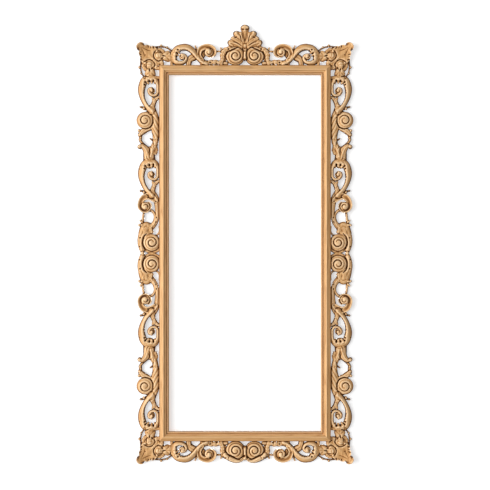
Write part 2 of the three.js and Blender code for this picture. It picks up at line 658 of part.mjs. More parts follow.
// A stile and what it carries, as the left one stands; the right one is its mirror image.
function addStile(half) {
  const flip = group(bench);
  flip.scale.x = -halves[half];
  const stile = group(flip);
  stile.rotation.z = Math.PI / 2;
  stile.position.x = -outerHalfWidth;
  piece(stile, `${half}_stile`, stileShape, wood);
  piece(stile, `${half}_medallion`, sideMedallion, carvedWood);
  for (const [level, sign] of Object.entries(levels)) {
    const scrollPin = [sign * sideDowelAlong, 0, DOWEL_HEIGHT];
    const medallionPin = [sign * sideRosetteAlong, 0, DOWEL_HEIGHT];
    piece(stile, `${half}_${level}_scroll`, sideRun, carvedWood).scale.x = sign;
    piece(stile, `${half}_${level}_scroll_dowel`, dowel, joinery, scrollPin);
    piece(stile, `${half}_medallion_${level}_dowel`, dowel, joinery, medallionPin);
  }
  for (const [level, along] of Object.entries(buttonPlaces)) {
    const place = [along, -BUTTON_FROM_EDGE, 0];
    piece(stile, `${half}_${level}_button`, button, brass, place).rotation.z = -Math.PI / 2;
    piece(stile, `${half}_${level}_button_screw`, buttonScrew, brass, place);
  }
  piece(stile, `${half}_hanger_strap`, strap, steel, [HANGER_ABOVE_MIDDLE, -HANGER_FROM_EDGE, 0]);
  piece(stile, `${half}_hanger_ring`, ring, steel, [HANGER_ABOVE_MIDDLE, -HANGER_FROM_EDGE, ringDepth]);
  piece(stile, `${half}_hanger_screw`, strapScrew, steel, [hangerScrewAlong, -HANGER_FROM_EDGE, 0]);
}

// The top or bottom rail and what it carries; the bottom one is the mirror image of the top one.
function addRail(level, medallion, mirror) {
  const flip = group(bench);
  flip.scale.y = mirror;
  const rail = group(flip);
  rail.position.y = outerHalfHeight;
  piece(rail, `${level}_rail`, railShape, wood);
  piece(rail, `${level}_medallion`, medallion, carvedWood);
  for (const [half, sign] of Object.entries(halves)) {
    const scrollPin = [sign * topDowelAlong, 0, DOWEL_HEIGHT];
    const medallionPin = [sign * topRosetteAlong, 0, DOWEL_HEIGHT];
    piece(rail, `${level}_${half}_scroll`, topRun, carvedWood).scale.x = sign;
    piece(rail, `${level}_${half}_scroll_dowel`, dowel, joinery, scrollPin);
    piece(rail, `${level}_medallion_${half}_dowel`, dowel, joinery, medallionPin);
  }
  return rail;
}

// A corner carving on the mitre, with the spline that locks the mitre under it.
function addCorner(half, level) {
  const flip = group(bench);
  flip.scale.set(halves[half], levels[level], 1);
  const inset = SPLINE_FROM_CORNER / Math.SQRT2;
  const splinePlace = [outerHalfWidth - inset, outerHalfHeight - inset, SPLINE_HEIGHT];
  piece(flip, `${half}_${level}_corner`, corner, carvedWood, [outerHalfWidth, outerHalfHeight, 0]);
  piece(flip, `${half}_${level}_spline`, spline, joinery, splinePlace);
}

const topRail = addRail("top", topMedallionGeometry(), 1);
piece(topRail, "crest", crestGeometry(), carvedWood);
piece(topRail, "crest_dowel", dowel, joinery, [0, crestSeat, DOWEL_HEIGHT]);
addRail("bottom", bottomMedallionGeometry(), -1);
for (const half of Object.keys(halves)) {
  addStile(half);
  for (const level of Object.keys(levels)) {
    addCorner(half, level);
  }
}

export default frame;
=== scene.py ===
"""Carved openwork mirror frame: a mitred moulding with a carved acanthus border and its hardware.

The carving is drawn as strokes over one quarter of the frame, seen from the front. Along p a point is
that far to the side of the frame's middle, along q that far above it, in millimetres. The strokes are
laid over each other as a relief, and each carved piece is cut out of the relief and mirrored into place.
"""

import math

import bpy
import numpy as np
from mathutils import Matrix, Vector


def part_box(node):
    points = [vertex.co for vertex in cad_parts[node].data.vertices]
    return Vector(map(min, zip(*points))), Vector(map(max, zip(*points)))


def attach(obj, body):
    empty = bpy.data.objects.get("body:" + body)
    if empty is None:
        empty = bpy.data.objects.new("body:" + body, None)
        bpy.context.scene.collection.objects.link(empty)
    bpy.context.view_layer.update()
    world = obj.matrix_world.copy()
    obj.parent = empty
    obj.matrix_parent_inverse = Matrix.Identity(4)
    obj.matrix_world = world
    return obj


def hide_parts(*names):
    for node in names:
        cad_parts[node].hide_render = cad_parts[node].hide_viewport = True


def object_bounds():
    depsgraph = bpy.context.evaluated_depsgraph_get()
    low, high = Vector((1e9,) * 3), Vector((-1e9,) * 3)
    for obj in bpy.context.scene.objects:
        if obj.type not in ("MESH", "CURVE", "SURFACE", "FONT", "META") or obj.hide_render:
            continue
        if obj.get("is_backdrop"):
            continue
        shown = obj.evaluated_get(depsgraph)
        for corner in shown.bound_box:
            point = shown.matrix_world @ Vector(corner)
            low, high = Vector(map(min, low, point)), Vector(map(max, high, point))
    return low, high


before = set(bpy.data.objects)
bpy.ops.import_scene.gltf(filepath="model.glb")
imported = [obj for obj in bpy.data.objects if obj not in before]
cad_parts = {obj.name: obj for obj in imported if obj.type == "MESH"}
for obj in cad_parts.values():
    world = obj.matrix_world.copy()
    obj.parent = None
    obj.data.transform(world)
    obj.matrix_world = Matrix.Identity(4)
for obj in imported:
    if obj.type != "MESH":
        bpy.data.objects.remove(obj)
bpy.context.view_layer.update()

bl_info = {
    "name": "Carved mirror frame",
    "version": (1, 0, 0),
    "blender": (4, 5, 0),
    "location": "View3D > Sidebar > Mirror frame",
    "description": "Builds the looks of a carved openwork mirror frame around its packed model",
    "category": "Object",
}

MM = 0.001
HALVES = {"right": 1, "left": -1}
LEVELS = {"upper": 1, "lower": -1}
RAIL_LEVELS = {"top": 1, "bottom": -1}
FIT_GAP = 0.3

rail_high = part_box("top_rail")[1]
stile_low, stile_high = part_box("right_stile")
HALF_WIDTH = stile_high.x / MM
MIDDLE = (stile_high.z + stile_low.z) / 2 / MM
HALF_HEIGHT = rail_high.z / MM - MIDDLE
SIDE_MEDALLION_HALF = (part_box("right_medallion")[1].z - MIDDLE * MM) / MM + FIT_GAP / 2
TOP_MEDALLION_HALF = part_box("top_medallion")[1].x / MM + FIT_GAP / 2
CORNER_Q = (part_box("right_upper_corner")[0].z - MIDDLE * MM) / MM - FIT_GAP / 2
CORNER_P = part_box("right_upper_corner")[0].x / MM - FIT_GAP / 2

# Where the crest stands, in millimetres: the rosettes' place and radius, and the web between them
ROSETTE = 38
WEB_HALF, WEB_TOP = 22, 62

# Boxes that hold the carved pieces, in millimetres out from the moulding
BOX_MARGIN = 3
CARVING_REACH, CORNER_REACH = 96, 98
CREST_HALF, CREST_FOOT, CREST_TOP = 78, 48, 170

# The relief in millimetres: the cut round a stroke, the least height and the height beyond all strokes
SET_IN_WIDTH, SET_IN_DEPTH = 2.6, 4.0
LEAST_HEIGHT, OUTER_HEIGHT = 3.0, 6.0

# How many points of the grid a stroke is laid over at a time, to save memory
SPOTS_AT_ONCE = 4000

# How the tone is read from the relief, as painted shade and highlight together with the hollows' stain: the
# tone of a flat place, the painted shade of the back and walls, what each millimetre above or below the mean
# height near a point adds, darker in hollows and paler on ridges, and how far the mean reaches, and the
# painted shade along the joint with the moulding
FLAT_TONE, BACK_SHADE = 0.485, 0.14
FINE_TONE, FINE_REACH = 0.24, 2.2
BROAD_TONE, BROAD_REACH = 0.105, 6.5
JOINT_SHADE, JOINT_REACH = 0.24, 2.2
SHADING_FADE, THIN_REACH = 2.5, 3.5

# Edges sharper than these angles in degrees are shaded as edges
CARVING_SHARP, MOULDING_SHARP, HARDWARE_SHARP = 52, 38, 40

# Hardware in millimetres
STRAP_LENGTH = 30
KNUCKLE_RADIUS, KNUCKLE_BORE = 3.6, 2.1
RING_HALF, RING_DROP, RING_CORNER = 13.0, 25.0, 3.9
SCREW_HEAD_HEIGHT, PLATE_BEVEL, STRAP_BEVEL = 3.0, 0.7, 0.5

# How fast the figure of the wood changes along the grain, as a share of the change across it
ALONG_GRAIN = 0.055

# The stage in metres
STAGE_HALF, STAGE_FRONT, STAGE_TOP = 6, -9, 7
KEY_AWAY, KEY_RISE, KEY_SIZE = 14, 0.5, (17.0, 12.0)
BACK_AWAY, BACK_SIZE = 6.0, (1.2, 1.2)
CAMERA_RISE, CAMERA_TARGET_Y, SENSOR_WIDTH = 0.0328, -0.02, 36.0
STAGE_GLOW = 0.54


# Settings

def length(name, description, default):
    return bpy.props.FloatProperty(name=name, description=description, default=default, min=0.0,
                                   unit="LENGTH", subtype="DISTANCE", precision=4)


def colour(name, description, default):
    return bpy.props.FloatVectorProperty(name=name, description=description, default=default, size=3,
                                         subtype="COLOR", min=0.0, max=1.0)


def share(name, description, default):
    return bpy.props.FloatProperty(name=name, description=description, default=default, min=0.0,
                                   max=1.0, subtype="FACTOR")


class MouldingSizes(bpy.types.PropertyGroup):
    rail_width: length("Rail width", "Width of the moulding, outside to sight edge", 0.039)
    rail_depth: length("Rail depth", "Height of the moulding's ridge above the back", 0.0325)
    outer_edge: length("Outer edge", "Height of the moulding's outer side", 0.0250)
    ridge_from_edge: length("Ridge from edge", "Distance of the ridge from the outer side", 0.0160)
    ridge_width: length("Ridge width", "Width of the flat along the ridge", 0.0022)
    fillet_from_edge: length("Fillet from edge", "Distance of the fillet from the outer side", 0.0240)
    fillet_height: length("Fillet height", "Height of the fillet above the back", 0.0262)
    quirk_from_edge: length("Quirk from edge", "Distance of the bead's groove from the outer side", 0.0300)
    quirk_depth: length("Quirk depth", "Depth of the groove beside the bead", 0.0080)
    bead_height: length("Bead height", "Height of the bead above the back", 0.0240)
    rebate: length("Rebate", "Width and depth of the rebate that takes the glass", 0.010)


class CarvingSizes(bpy.types.PropertyGroup):
    fineness: length("Fineness", "Spacing of the points that the carving is modelled with", 0.0015)
    scroll_height: length("Scroll height", "Height of the scrolls above the back", 0.024)
    leaf_height: length("Leaf height", "Height of the leaves above the back", 0.019)
    stem_height: length("Stem height", "Height of the twisted stems above the back", 0.022)
    base_height: length("Base height", "Height of the low ground above the back", 0.015)
    tendril_height: length("Tendril height", "Height of the thin tendrils above the back", 0.013)
    eye_height: length("Eye height", "Height of rosettes and scroll eyes above the back", 0.027)
    tip_height: length("Tip height", "Height of the curled corner tips above the back", 0.030)


class HardwareSizes(bpy.types.PropertyGroup):
    button_reach: length("Button reach", "From a button's screw to its tip", 0.020)
    button_heel: length("Button heel", "Radius of a button around its screw", 0.008)
    button_tip: length("Button tip", "Radius of a button's tip", 0.005)
    button_thickness: length("Button thickness", "Thickness of a turn button", 0.0024)
    screw_head: length("Screw head", "Radius of a screw's head", 0.004)
    screw_shank: length("Screw shank", "Radius of a screw's shank", 0.002)
    screw_length: length("Screw length", "Length of a screw's shank below its head", 0.0157)
    strap_width: length("Strap width", "Width of a hanger strap", 0.015)
    strap_thickness: length("Strap thickness", "Thickness of a hanger strap", 0.0016)
    ring_wire: length("Ring wire", "Radius of a hanger ring's wire", 0.0018)


class Finishes(bpy.types.PropertyGroup):
    wood_pale: colour("Pale wood", "Colour of the early wood", (0.76, 0.455, 0.205))
    wood_mid: colour("Wood", "Main colour of the wood", (0.66, 0.365, 0.145))
    wood_dark: colour("Dark wood", "Colour of the late wood lines", (0.46, 0.215, 0.070))
    # Colours of the carving's tone: stain with painted shade in the hollows, and painted shade in the deepest
    # ones
    shade_and_stain: colour("Stain", "Stain that gathers in the carving's hollows", (0.36, 0.150, 0.038))
    crevice_shade: colour("Crevices", "Stain in the deepest hollows", (0.060, 0.018, 0.003))
    # Painted highlight on the ridges and the moulding's bead, together with rubbed wear
    rubbed_and_highlit: colour("Rubbed edges", "Colour of the ridges where hands have rubbed", (0.95, 0.69, 0.42))
    joinery: colour("Joinery", "Colour of the dowels and splines", (0.68, 0.47, 0.25))
    brass: colour("Brass", "Colour of the turn buttons and their screws", (0.60, 0.41, 0.16))
    steel: colour("Steel", "Colour of the hangers", (0.46, 0.47, 0.48))
    # How strong the painted shade of the hollows and the painted highlight of the ridges are
    crevice_shade_strength: share("Crevice strength", "How dark the hollows of the carving are", 0.92)
    rubbed_and_highlit_strength: share("Rubbed strength", "How pale the ridges of the carving are", 0.75)


class StageSettings(bpy.types.PropertyGroup):
    wall_gap: length("Wall gap", "Distance of the backdrop behind the frame's back", 0.0008)
    floor_drop: length("Floor drop", "Height of the frame's lower end above the floor", 0.125)
    camera_distance: length("Camera distance", "From the camera to the front of the frame", 5.43)
    picture_width: length("Picture width", "Width that the picture covers at the frame", 1.96)
    wall: colour("Backdrop", "Colour of the backdrop", (0.68, 0.68, 0.68))
    floor: colour("Floor", "Colour of the floor", (0.86, 0.86, 0.85))
    key_power: bpy.props.FloatProperty(name="Key light", description="Power of the lamp on the left",
                                       default=3000.0, min=0.0, unit="POWER")
    key_angle: bpy.props.FloatProperty(name="Key angle", description="How far the lamp stands to the side",
                                       default=math.radians(57), subtype="ANGLE")
    sky: bpy.props.FloatProperty(name="Sky light", description="Strength of the soft light from all round",
                                 default=0.45, min=0.0)
    back_power: bpy.props.FloatProperty(name="Back light", description="Power of the lamp behind the frame",
                                        default=260.0, min=0.0, unit="POWER")


# Strokes of the carving

def smooth_line(points, step=1.0):
    """Close points along a smooth curve through the given ones, widths included."""
    given = np.array(points, float)
    given = np.vstack([2 * given[0] - given[1], given, 2 * given[-1] - given[-2]])
    gaps = np.sqrt(np.linalg.norm(np.diff(given[:, :2], axis=0), axis=1)) + 1e-6
    line = []
    for i in range(1, len(given) - 2):
        before, here, there, after = given[i - 1:i + 3]
        g0, g1, g2 = gaps[i - 1:i + 2]
        leave = g1 * ((here - before) / g0 - (there - before) / (g0 + g1) + (there - here) / g1)
        reach = g1 * ((there - here) / g1 - (after - here) / (g1 + g2) + (after - there) / g2)
        count = max(2, math.ceil(np.linalg.norm((there - here)[:2]) / step))
        t = np.linspace(0, 1, count, endpoint=False)[:, None]
        line.append((2 * t**3 - 3 * t**2 + 1) * here + (t**3 - 2 * t**2 + t) * leave
                    + (3 * t**2 - 2 * t**3) * there + (t**3 - t**2) * reach)
    line.append(given[-2:-1])
    return np.vstack(line)


def rounded(x):
    return np.sqrt(np.clip(1 - x * x, 0, 1))


def domed(x, rim):
    """A round rise from the rim's share at -1 and 1 to 1 in the middle."""
    return rim + (1 - rim) * rounded(x)


def wave(turns):
    """1 at each whole turn and 0 at each half one."""
    return 0.5 + 0.5 * np.cos(2 * np.pi * turns)


class Stroke:
    """A stroke of the gouge. Its line, once placed, holds the middle and half width of each point along it.

    The surface is a function of x, from -1 at the right edge to 1 at the left one, the way along in
    millimetres and the half width there, and gives the height above the back.
    """

    def __init__(self, points, surface, carve=False, lobe=0.0, set_in=True, shade_and_stain=0.0):
        self.points = points
        self.surface = surface
        self.carve = carve
        self.lobe = lobe
        self.set_in = set_in
        # How much painted shade the stroke lays along its line, or painted highlight where negative
        self.shade_and_stain = shade_and_stain

    def place(self, put):
        """Draws the line through the points, which put moves to their place in the quarter."""
        points = put(self.points)
        self.line = smooth_line(points) if len(points) > 1 else np.array(points, float)
        return self

    def reach(self):
        middle, half = self.line[:, :2], self.line[:, 2:3]
        return (middle - half).min(0), (middle + half).max(0)

    def lay(self, p, q):
        """How far inside its edge each point is, and the height there."""
        middle, half = self.line[:, :2], self.line[:, 2]
        spot = np.stack([p.ravel(), q.ravel()], 1)
        near = np.empty(len(spot), int)
        for first in range(0, len(spot), SPOTS_AT_ONCE):
            part = spot[first:first + SPOTS_AT_ONCE]
            away = np.hypot(part[:, None, 0] - middle[None, :, 0], part[:, None, 1] - middle[None, :, 1])
            near[first:first + SPOTS_AT_ONCE] = np.argmin(away / half[None], 1)
        if len(middle) > 1:
            heading = np.gradient(middle, axis=0)
            heading /= np.linalg.norm(heading, axis=1)[:, None] + 1e-9
            along = np.concatenate([[0], np.cumsum(np.linalg.norm(np.diff(middle, axis=0), axis=1))])
        else:
            heading, along = np.array([[1.0, 0.0]]), np.zeros(1)
        off = spot - middle[near]
        lead = heading[near]
        side = lead[:, 0] * off[:, 1] - lead[:, 1] * off[:, 0]
        width = half[near]
        across = np.hypot(off[:, 0], off[:, 1])
        x = np.copysign(across, side) / width
        way = along[near] + (off * lead).sum(1)
        high = self.surface(np.clip(x, -1, 1), way, width)
        if self.lobe:
            notched = wave((way - 0.9 * width) / self.lobe)
            width = width - 2.8 * np.clip((width - 6) / 6, 0, 1) * notched**2
        return (width - across).reshape(p.shape), np.broadcast_to(high, x.shape).reshape(p.shape)


class Turned(Stroke):
    """A stroke turned about a point. Its surface takes the share of the radius, the angle and the radius."""

    def lay(self, p, q):
        (along, up, radius), = self.line
        r = np.hypot(p - along, q - up)
        angle = np.arctan2(q - up, p - along)
        return radius - r, self.surface(np.clip(r / radius, 0, 1), angle, radius)


class Ground(Stroke):
    """A flat leaf body inside an outline. Its surface takes the distance from the edge and the place."""

    def __init__(self, outline, surface):
        super().__init__(outline, surface, set_in=False)

    def place(self, put):
        outline = put(self.points)
        self.outline = smooth_line([*outline, outline[0]], 2.0)[:-1, :2]
        self.line = np.hstack([self.outline, np.ones((len(self.outline), 1))])
        return self

    def lay(self, p, q):
        spot = np.stack([p.ravel(), q.ravel()], 1)
        start, end = self.outline, np.roll(self.outline, -1, 0)
        run = end - start
        best = np.full(len(spot), 1e9)
        inside = np.zeros(len(spot), bool)
        for (a, b), (da, db), (_, b2) in zip(start, run, end):
            t = np.clip(((spot[:, 0] - a) * da + (spot[:, 1] - b) * db) / (da * da + db * db + 1e-12), 0, 1)
            best = np.minimum(best, np.hypot(spot[:, 0] - a - t * da, spot[:, 1] - b - t * db))
            crosses = (b > spot[:, 1]) != (b2 > spot[:, 1])
            inside ^= crosses & (spot[:, 0] < a + (spot[:, 1] - b) * da / (db if db else 1e-12))
        deep = np.where(inside, best, -best).reshape(p.shape)
        return deep, self.surface(deep, p, q)


class Twin:
    """A stroke as it is seen in a mirror, which is a function from a place to its mirror image."""

    def __init__(self, stroke, mirror):
        self.stroke = stroke
        self.mirror = mirror
        self.carve, self.set_in, self.shade_and_stain = stroke.carve, stroke.set_in, stroke.shade_and_stain

    def reach(self):
        ends = np.array([self.mirror(*corner) for corner in self.stroke.reach()])
        return ends.min(0), ends.max(0)

    def lay(self, p, q):
        return self.stroke.lay(*self.mirror(p, q))


def over_middle(p, q):
    return -p, q


def over_level(p, q):
    return p, -q


def over_mitre(p, q):
    return HALF_WIDTH + q - HALF_HEIGHT, HALF_HEIGHT + p - HALF_WIDTH


def placed(put, strokes):
    """Strokes whose points are written in their own place, moved to the quarter."""
    return [stroke.place(put) for stroke in strokes]


def with_twins(strokes, mirror):
    return strokes + [Twin(stroke, mirror) for stroke in strokes]


# A strap's section: places from its inner edge to its outer one, and the share of its height there
STRAP_PLACES = (-1, -0.93, -0.82, -0.68, -0.50, -0.30, 0, 0.30, 0.55, 0.75, 0.88, 0.96, 1)
STRAP_RISES = (0.26, 0.55, 0.80, 0.94, 1, 0.98, 0.91, 0.83, 0.75, 0.66, 0.55, 0.40, 0.24)


def strap(points, height, outer, lobe=13.0, depth=3.5):
    """A scroll's strap. It rises from its outer edge to a ridge near the inner one, which is notched."""
    def surface(x, along, half):
        wide = np.clip((half - 5) / 5, 0, 1)
        inner = np.clip((-outer * x - 0.40) / 0.35, 0, 1)
        slant = wave((along + 0.6 * np.abs(x) * half) / lobe)
        rise = wide * np.interp(outer * x, STRAP_PLACES, STRAP_RISES) + (1 - wide) * domed(x, 0.30)
        return height * rise - depth * wide * inner * slant**5
    return Stroke(points, surface)


def leaf(points, height, lobe, depth=2.4, set_in=True):
    """An acanthus leaf: a middle vein with side veins that run out from it at a slant."""
    def surface(x, along, half):
        dome = height * domed(x, 0.40)
        middle = depth * np.exp(-(x * half / 1.7) ** 2)
        slant = wave((along - 0.9 * np.abs(x) * half) / lobe)
        side = depth * slant**4 * np.clip(3 * np.abs(x), 0, 1) * np.clip((half - 5) / 5, 0.15, 1)
        return dome - middle - side
    return Stroke(points, surface, lobe=lobe, set_in=set_in)


def stem(points, height, lobe=27.0, depth=2.6):
    """A twisted stem with flutes that run round it."""
    def surface(x, along, half):
        flute = wave((along + 1.9 * x * half) / lobe)
        return height * domed(x, 0.40) - depth * flute**3 * rounded(x) ** 0.5
    return Stroke(points, surface)


def fluted(points, height, flutes, depth=2.3, set_in=True):
    """A bundle of leaf blades that run side by side."""
    def surface(x, along, half):
        groove = wave(flutes * (x + 1) / 2)
        return height * domed(x, 0.38) - depth * groove**3 * rounded(x) ** 0.5
    return Stroke(points, surface, set_in=set_in)


def wire(points, height):
    """A plain round strand."""
    return Stroke(points, lambda x, along, half: height * domed(x, 0.35))


def hollow(points, height, depth):
    """A lobe that is scooped out between raised edges."""
    def surface(x, along, half):
        rim = np.clip((1 - np.abs(x)) / 0.22, 0, 1)
        return height * ((1 - depth) + depth * np.abs(x) ** 2.2) * domed(1 - rim, 0.40)
    return Stroke(points, surface)


def ball(point, height, set_in=True):
    """A round boss."""
    return Turned([point], lambda r, angle, radius: height * domed(r, 0.30), set_in=set_in)


def coil(point, height, hand, first, pitch, start=0.0, deep=0.50):
    """A coiled rosette: a domed eye and a roll round it, with fine lines on the outer turn.

    Its groove starts at the start angle, first millimetres from the middle, and goes out by the pitch with
    each turn. It is shallower near the eye and beyond the first turn.
    """
    def surface(r, angle, radius):
        far = r * radius
        turned = hand * (angle - start) / (2 * np.pi)
        place = (far - first) / pitch - (turned - np.floor(turned))
        away = np.abs(place - np.maximum(np.round(place), 0)) * pitch
        force = np.clip((far - first) / (0.7 * pitch), 0.25, 1)
        force *= np.clip((first + 1.25 * pitch - far) / 3, 0.2, 1)
        groove = deep * force * np.exp(-(away / 1.9) ** 2)
        fine = 0.06 * wave(far / 5.0) * np.clip((far - first - 1.2 * pitch) / 3, 0, 1)
        dome = 1.0 - 0.30 * r**1.5
        edge = np.clip((1 - r) * radius / 4.0, 0, 1)
        return height * (dome - groove - fine) * domed(1 - edge, 0.42)
    return Turned([point], surface)


def drilled(*spots):
    """Drilled eyes, left dark between the leaves. A spot has its depth after its radius."""
    def eye(depth):
        return lambda r, angle, radius: depth * np.clip(1.25 * (1 - r), 0, 1)
    return [Turned([spot], eye(depth), carve=True) for *spot, depth in spots]


def veined(points, depth):
    """A line cut along a leaf with the V tool."""
    return Stroke(points, lambda x, along, half: depth * (1 - np.abs(x)), carve=True)


def painted_shading_line(points, shade_and_stain=0.2):
    """Painted shade along a line, or a painted highlight along it where negative. It leaves the height as it
    is.
    """
    return Stroke(points, lambda x, along, half: 0 * x, shade_and_stain=shade_and_stain)


def beside(points, at=(0, 0)):
    """Places [up, out, half width] points of a side run, which starts at the side medallion."""
    return [(HALF_WIDTH + v + at[1], SIDE_MEDALLION_HALF + u + at[0], w) for u, v, w in points]


def beside_middle(points):
    """Places [up from the middle, out, half width] points of a side medallion."""
    return [(HALF_WIDTH + v, u, w) for u, v, w in points]


def above(points, at=(0, 0)):
    """Places [along, out, half width] points of a top run, which starts at the top medallion."""
    return [(TOP_MEDALLION_HALF + u + at[0], HALF_HEIGHT + v + at[1], w) for u, v, w in points]


def above_middle(points):
    """Places [along from the middle, out, half width] points of the top medallion and the crest."""
    return [(u, HALF_HEIGHT + v, w) for u, v, w in points]


def at_corner(points):
    """Places [out sideways, out upwards, half width] points from the moulding's corner."""
    return [(HALF_WIDTH + a, HALF_HEIGHT + b, w) for a, b, w in points]


class Heights:
    """The carving's heights in millimetres."""

    def __init__(self, sizes):
        for name in ("scroll", "leaf", "stem", "base", "tendril", "eye", "tip"):
            setattr(self, name, getattr(sizes, f"{name}_height") / MM)


def side_scroll(high, eye):
    """A leafy scroll beside a stile, drawn about its eye."""
    def put(points):
        return beside(points, eye)
    return placed(put, [
        fluted([[-86, 2, 13], [-62, -2, 10], [-44, -8, 9], [-32, -17, 8], [-26, -31, 7]], high.leaf, 2),
        wire([[-80, 10, 5], [-72, 27, 6], [-68, 38, 4.5], [-66, 47, 3]], high.tendril),
        ball([-66, 47, 4.5], high.tendril),
        # Painted shade along the tendril
        painted_shading_line([[-73, 26, 5], [-68, 38, 8], [-66, 50, 8]], 0.24),
        ball([-72, 33, 6.5], high.leaf),
        strap([[-86, 3, 11], [-61, 24, 9.5], [-35, 38, 10], [-7, 44, 13], [19, 41, 15], [42, 30, 14.5],
               [50, 8, 14], [44, -12, 11.5], [25, -22, 8], [6, -23, 7], [-11, -21, 6.5], [-20, -11, 6],
               [-18, 4, 6], [-8, 14, 5.5], [5, 13, 5], [9, 3, 5]], high.scroll, outer=-1),
        coil([-2, 3, 13.5], high.eye, hand=-1, first=2.5, pitch=9.5, start=0.9, deep=0.60),
        leaf([[-46, -8, 8], [-37, -5, 7], [-30, -1, 4]], high.leaf, 9),
        *drilled([-17, -27, 4.2, 15], [-34, -26, 3.4, 12]),
        leaf([[38, 21, 7], [32, 18, 5.5], [28, 16, 4]], high.leaf, 8),
        leaf([[42, 4, 7], [35, 3, 5.5], [31, 3, 4]], high.leaf, 8),
        leaf([[40, -13, 6], [33, -11, 5], [29, -10, 4]], high.leaf, 8),
        *drilled([33, 28, 5.4, 18], [38, 12, 5.0, 18], [39, -5, 5.0, 18], [23, 31, 4.4, 16],
                 [-9, 33, 3.0, 11], [21, 51, 2.2, 5]),
    ])


def side_run_strokes(high):
    outer_eye, inner_eye, snail, open_eye = (577, 28), (241, 28), [457, 57, 34], [112, 56, 18.5]
    strokes = placed(beside, [
        wire([[410, 74, 8], [390, 76, 6.5], [374, 75, 6], [362, 65, 6], [350, 52, 7]], high.base),
        fluted([[430, 20, 8], [423, 46, 10], [413, 66, 12], [402, 77, 9]], high.leaf, 2),
        *drilled([404, 82, 3.4, 8], [388, 82, 3.2, 8]),
        ball([416, 81, 6], high.leaf),
        ball([398, 80, 6], high.base),
        ball([379, 78, 5.5], high.base),
        # Painted shade along the low wire
        painted_shading_line([[396, 76, 6], [376, 75, 10], [362, 65, 9], [352, 54, 5]], 0.17),
        stem([[512, 30, 11], [490, 23, 13], [462, 16, 16], [426, 16, 17], [398, 14, 14], [378, 15, 12],
              [356, 21, 11], [338, 32, 14]], high.stem),
        strap([[502, 24, 10], [488, 40, 12], [478, 62, 8]], high.leaf, outer=1),
        wire([[362, 16, 5], [376, 25, 4.5], [384, 37, 2.5]], high.tendril),
        # Painted shade along the tendril
        painted_shading_line([[376, 25, 5], [381, 32, 7], [385, 38, 6]], 0.24),
        fluted([[338, 43, 15], [322, 42, 23], [308, 41, 24], [290, 40, 26]], high.leaf, 5, 3.0),
        fluted([[352, 80, 7], [354, 70, 9], [346, 58, 12], [328, 49, 15], [306, 44, 17]], high.stem, 3),
        fluted([[372, 12, 8], [352, 18, 9], [334, 28, 11], [310, 34, 14]], high.stem, 3),
        coil([351, 79, 9], high.scroll, hand=-1, first=3.0, pitch=7.0),
        *drilled([345, 83, 3.2, 9]),
        leaf([[350, 14, 6], [338, 12, 7], [324, 17, 7]], high.leaf, 9),
        veined([[346, 40, 1.6], [334, 38, 3.0], [318, 38, 1.2]], 6),
        fluted([[174, 30, 11], [158, 22, 13], [140, 13, 13], [118, 9, 11], [94, 8, 9.5], [70, 9, 9],
                [48, 17, 10], [28, 34, 13]], high.leaf, 3),
        wire([[98, 49, 6], [95, 30, 6], [82, 20, 5], [66, 18, 5], [46, 23, 6.5], [28, 36, 9], [12, 49, 13]],
             high.base),
        wire([[98, 60, 5.5], [78, 64, 4.5], [62, 66, 5], [46, 68, 7], [30, 66, 11]], high.tendril),
        wire([[38, 70, 6], [38, 79, 5]], high.leaf),
        ball([37, 80, 5], high.stem),
        wire([[48, 69, 4.5], [56, 77, 3]], high.base),
        fluted([[23, 63, 12], [15, 57, 18], [6, 55, 23], [-4, 57, 25]], high.leaf, 4),
        leaf([[30, 44, 8], [20, 36, 9], [10, 30, 7]], high.leaf, 9),
        hollow([[136, 15, 10], [148, 30, 13], [153, 48, 13], [145, 65, 11.5], [129, 74, 11], [111, 75, 11],
                [98, 65, 10], [96, 51, 8.5], [104, 40, 7], [118, 37, 6], [127, 43, 4.5]],
               high.scroll, 0.34),
        coil(open_eye, high.eye, hand=1, first=5.0, pitch=12.0, start=0.2, deep=0.62),
        *drilled([148, 45, 3.2, 10], [148, 29, 3.2, 9], [132, 13, 3.4, 10]),
        wire([[32, 1, 3], [12, 0, 3.5], [-1, 8, 4], [-8, 34, 5]], high.tendril),
        coil(snail, high.eye, hand=1, first=7.0, pitch=12.8, start=1.57, deep=0.36),
        veined([[470, 26, 1.2], [445, 27, 3.4], [430, 36, 3.6], [423, 56, 3.2], [428, 73, 1.2]], 9),
        *drilled([68, 11, 3.4, 10], [50, 13, 3.4, 10]),
    ])
    return strokes + side_scroll(high, outer_eye) + side_scroll(high, inner_eye)


def side_medallion_strokes(high):
    strokes = placed(beside_middle, [
        fluted([[24, 68, 6], [9, 48, 7], [4, 29, 8], [9, 12, 7], [20, -4, 7]], high.base, 2),
        fluted([[100, 52, 26], [84, 56, 27], [67, 66, 20], [51, 71, 17], [33, 73, 13], [15, 70, 10],
                [0, 66, 7]], high.leaf, 3),
        *drilled([62, 77, 4.0, 8], [26, 79, 3.6, 8]),
        veined([[78, 50, 1.6], [66, 62, 4.0], [44, 67, 4.4], [22, 62, 3.2], [10, 52, 1.2]], 12),
        coil([43, 30, 34], high.eye, hand=-1, first=7.0, pitch=12.0, start=3.0),
        ball([0, 67, 8], high.scroll),
    ])
    return with_twins(strokes, over_level)


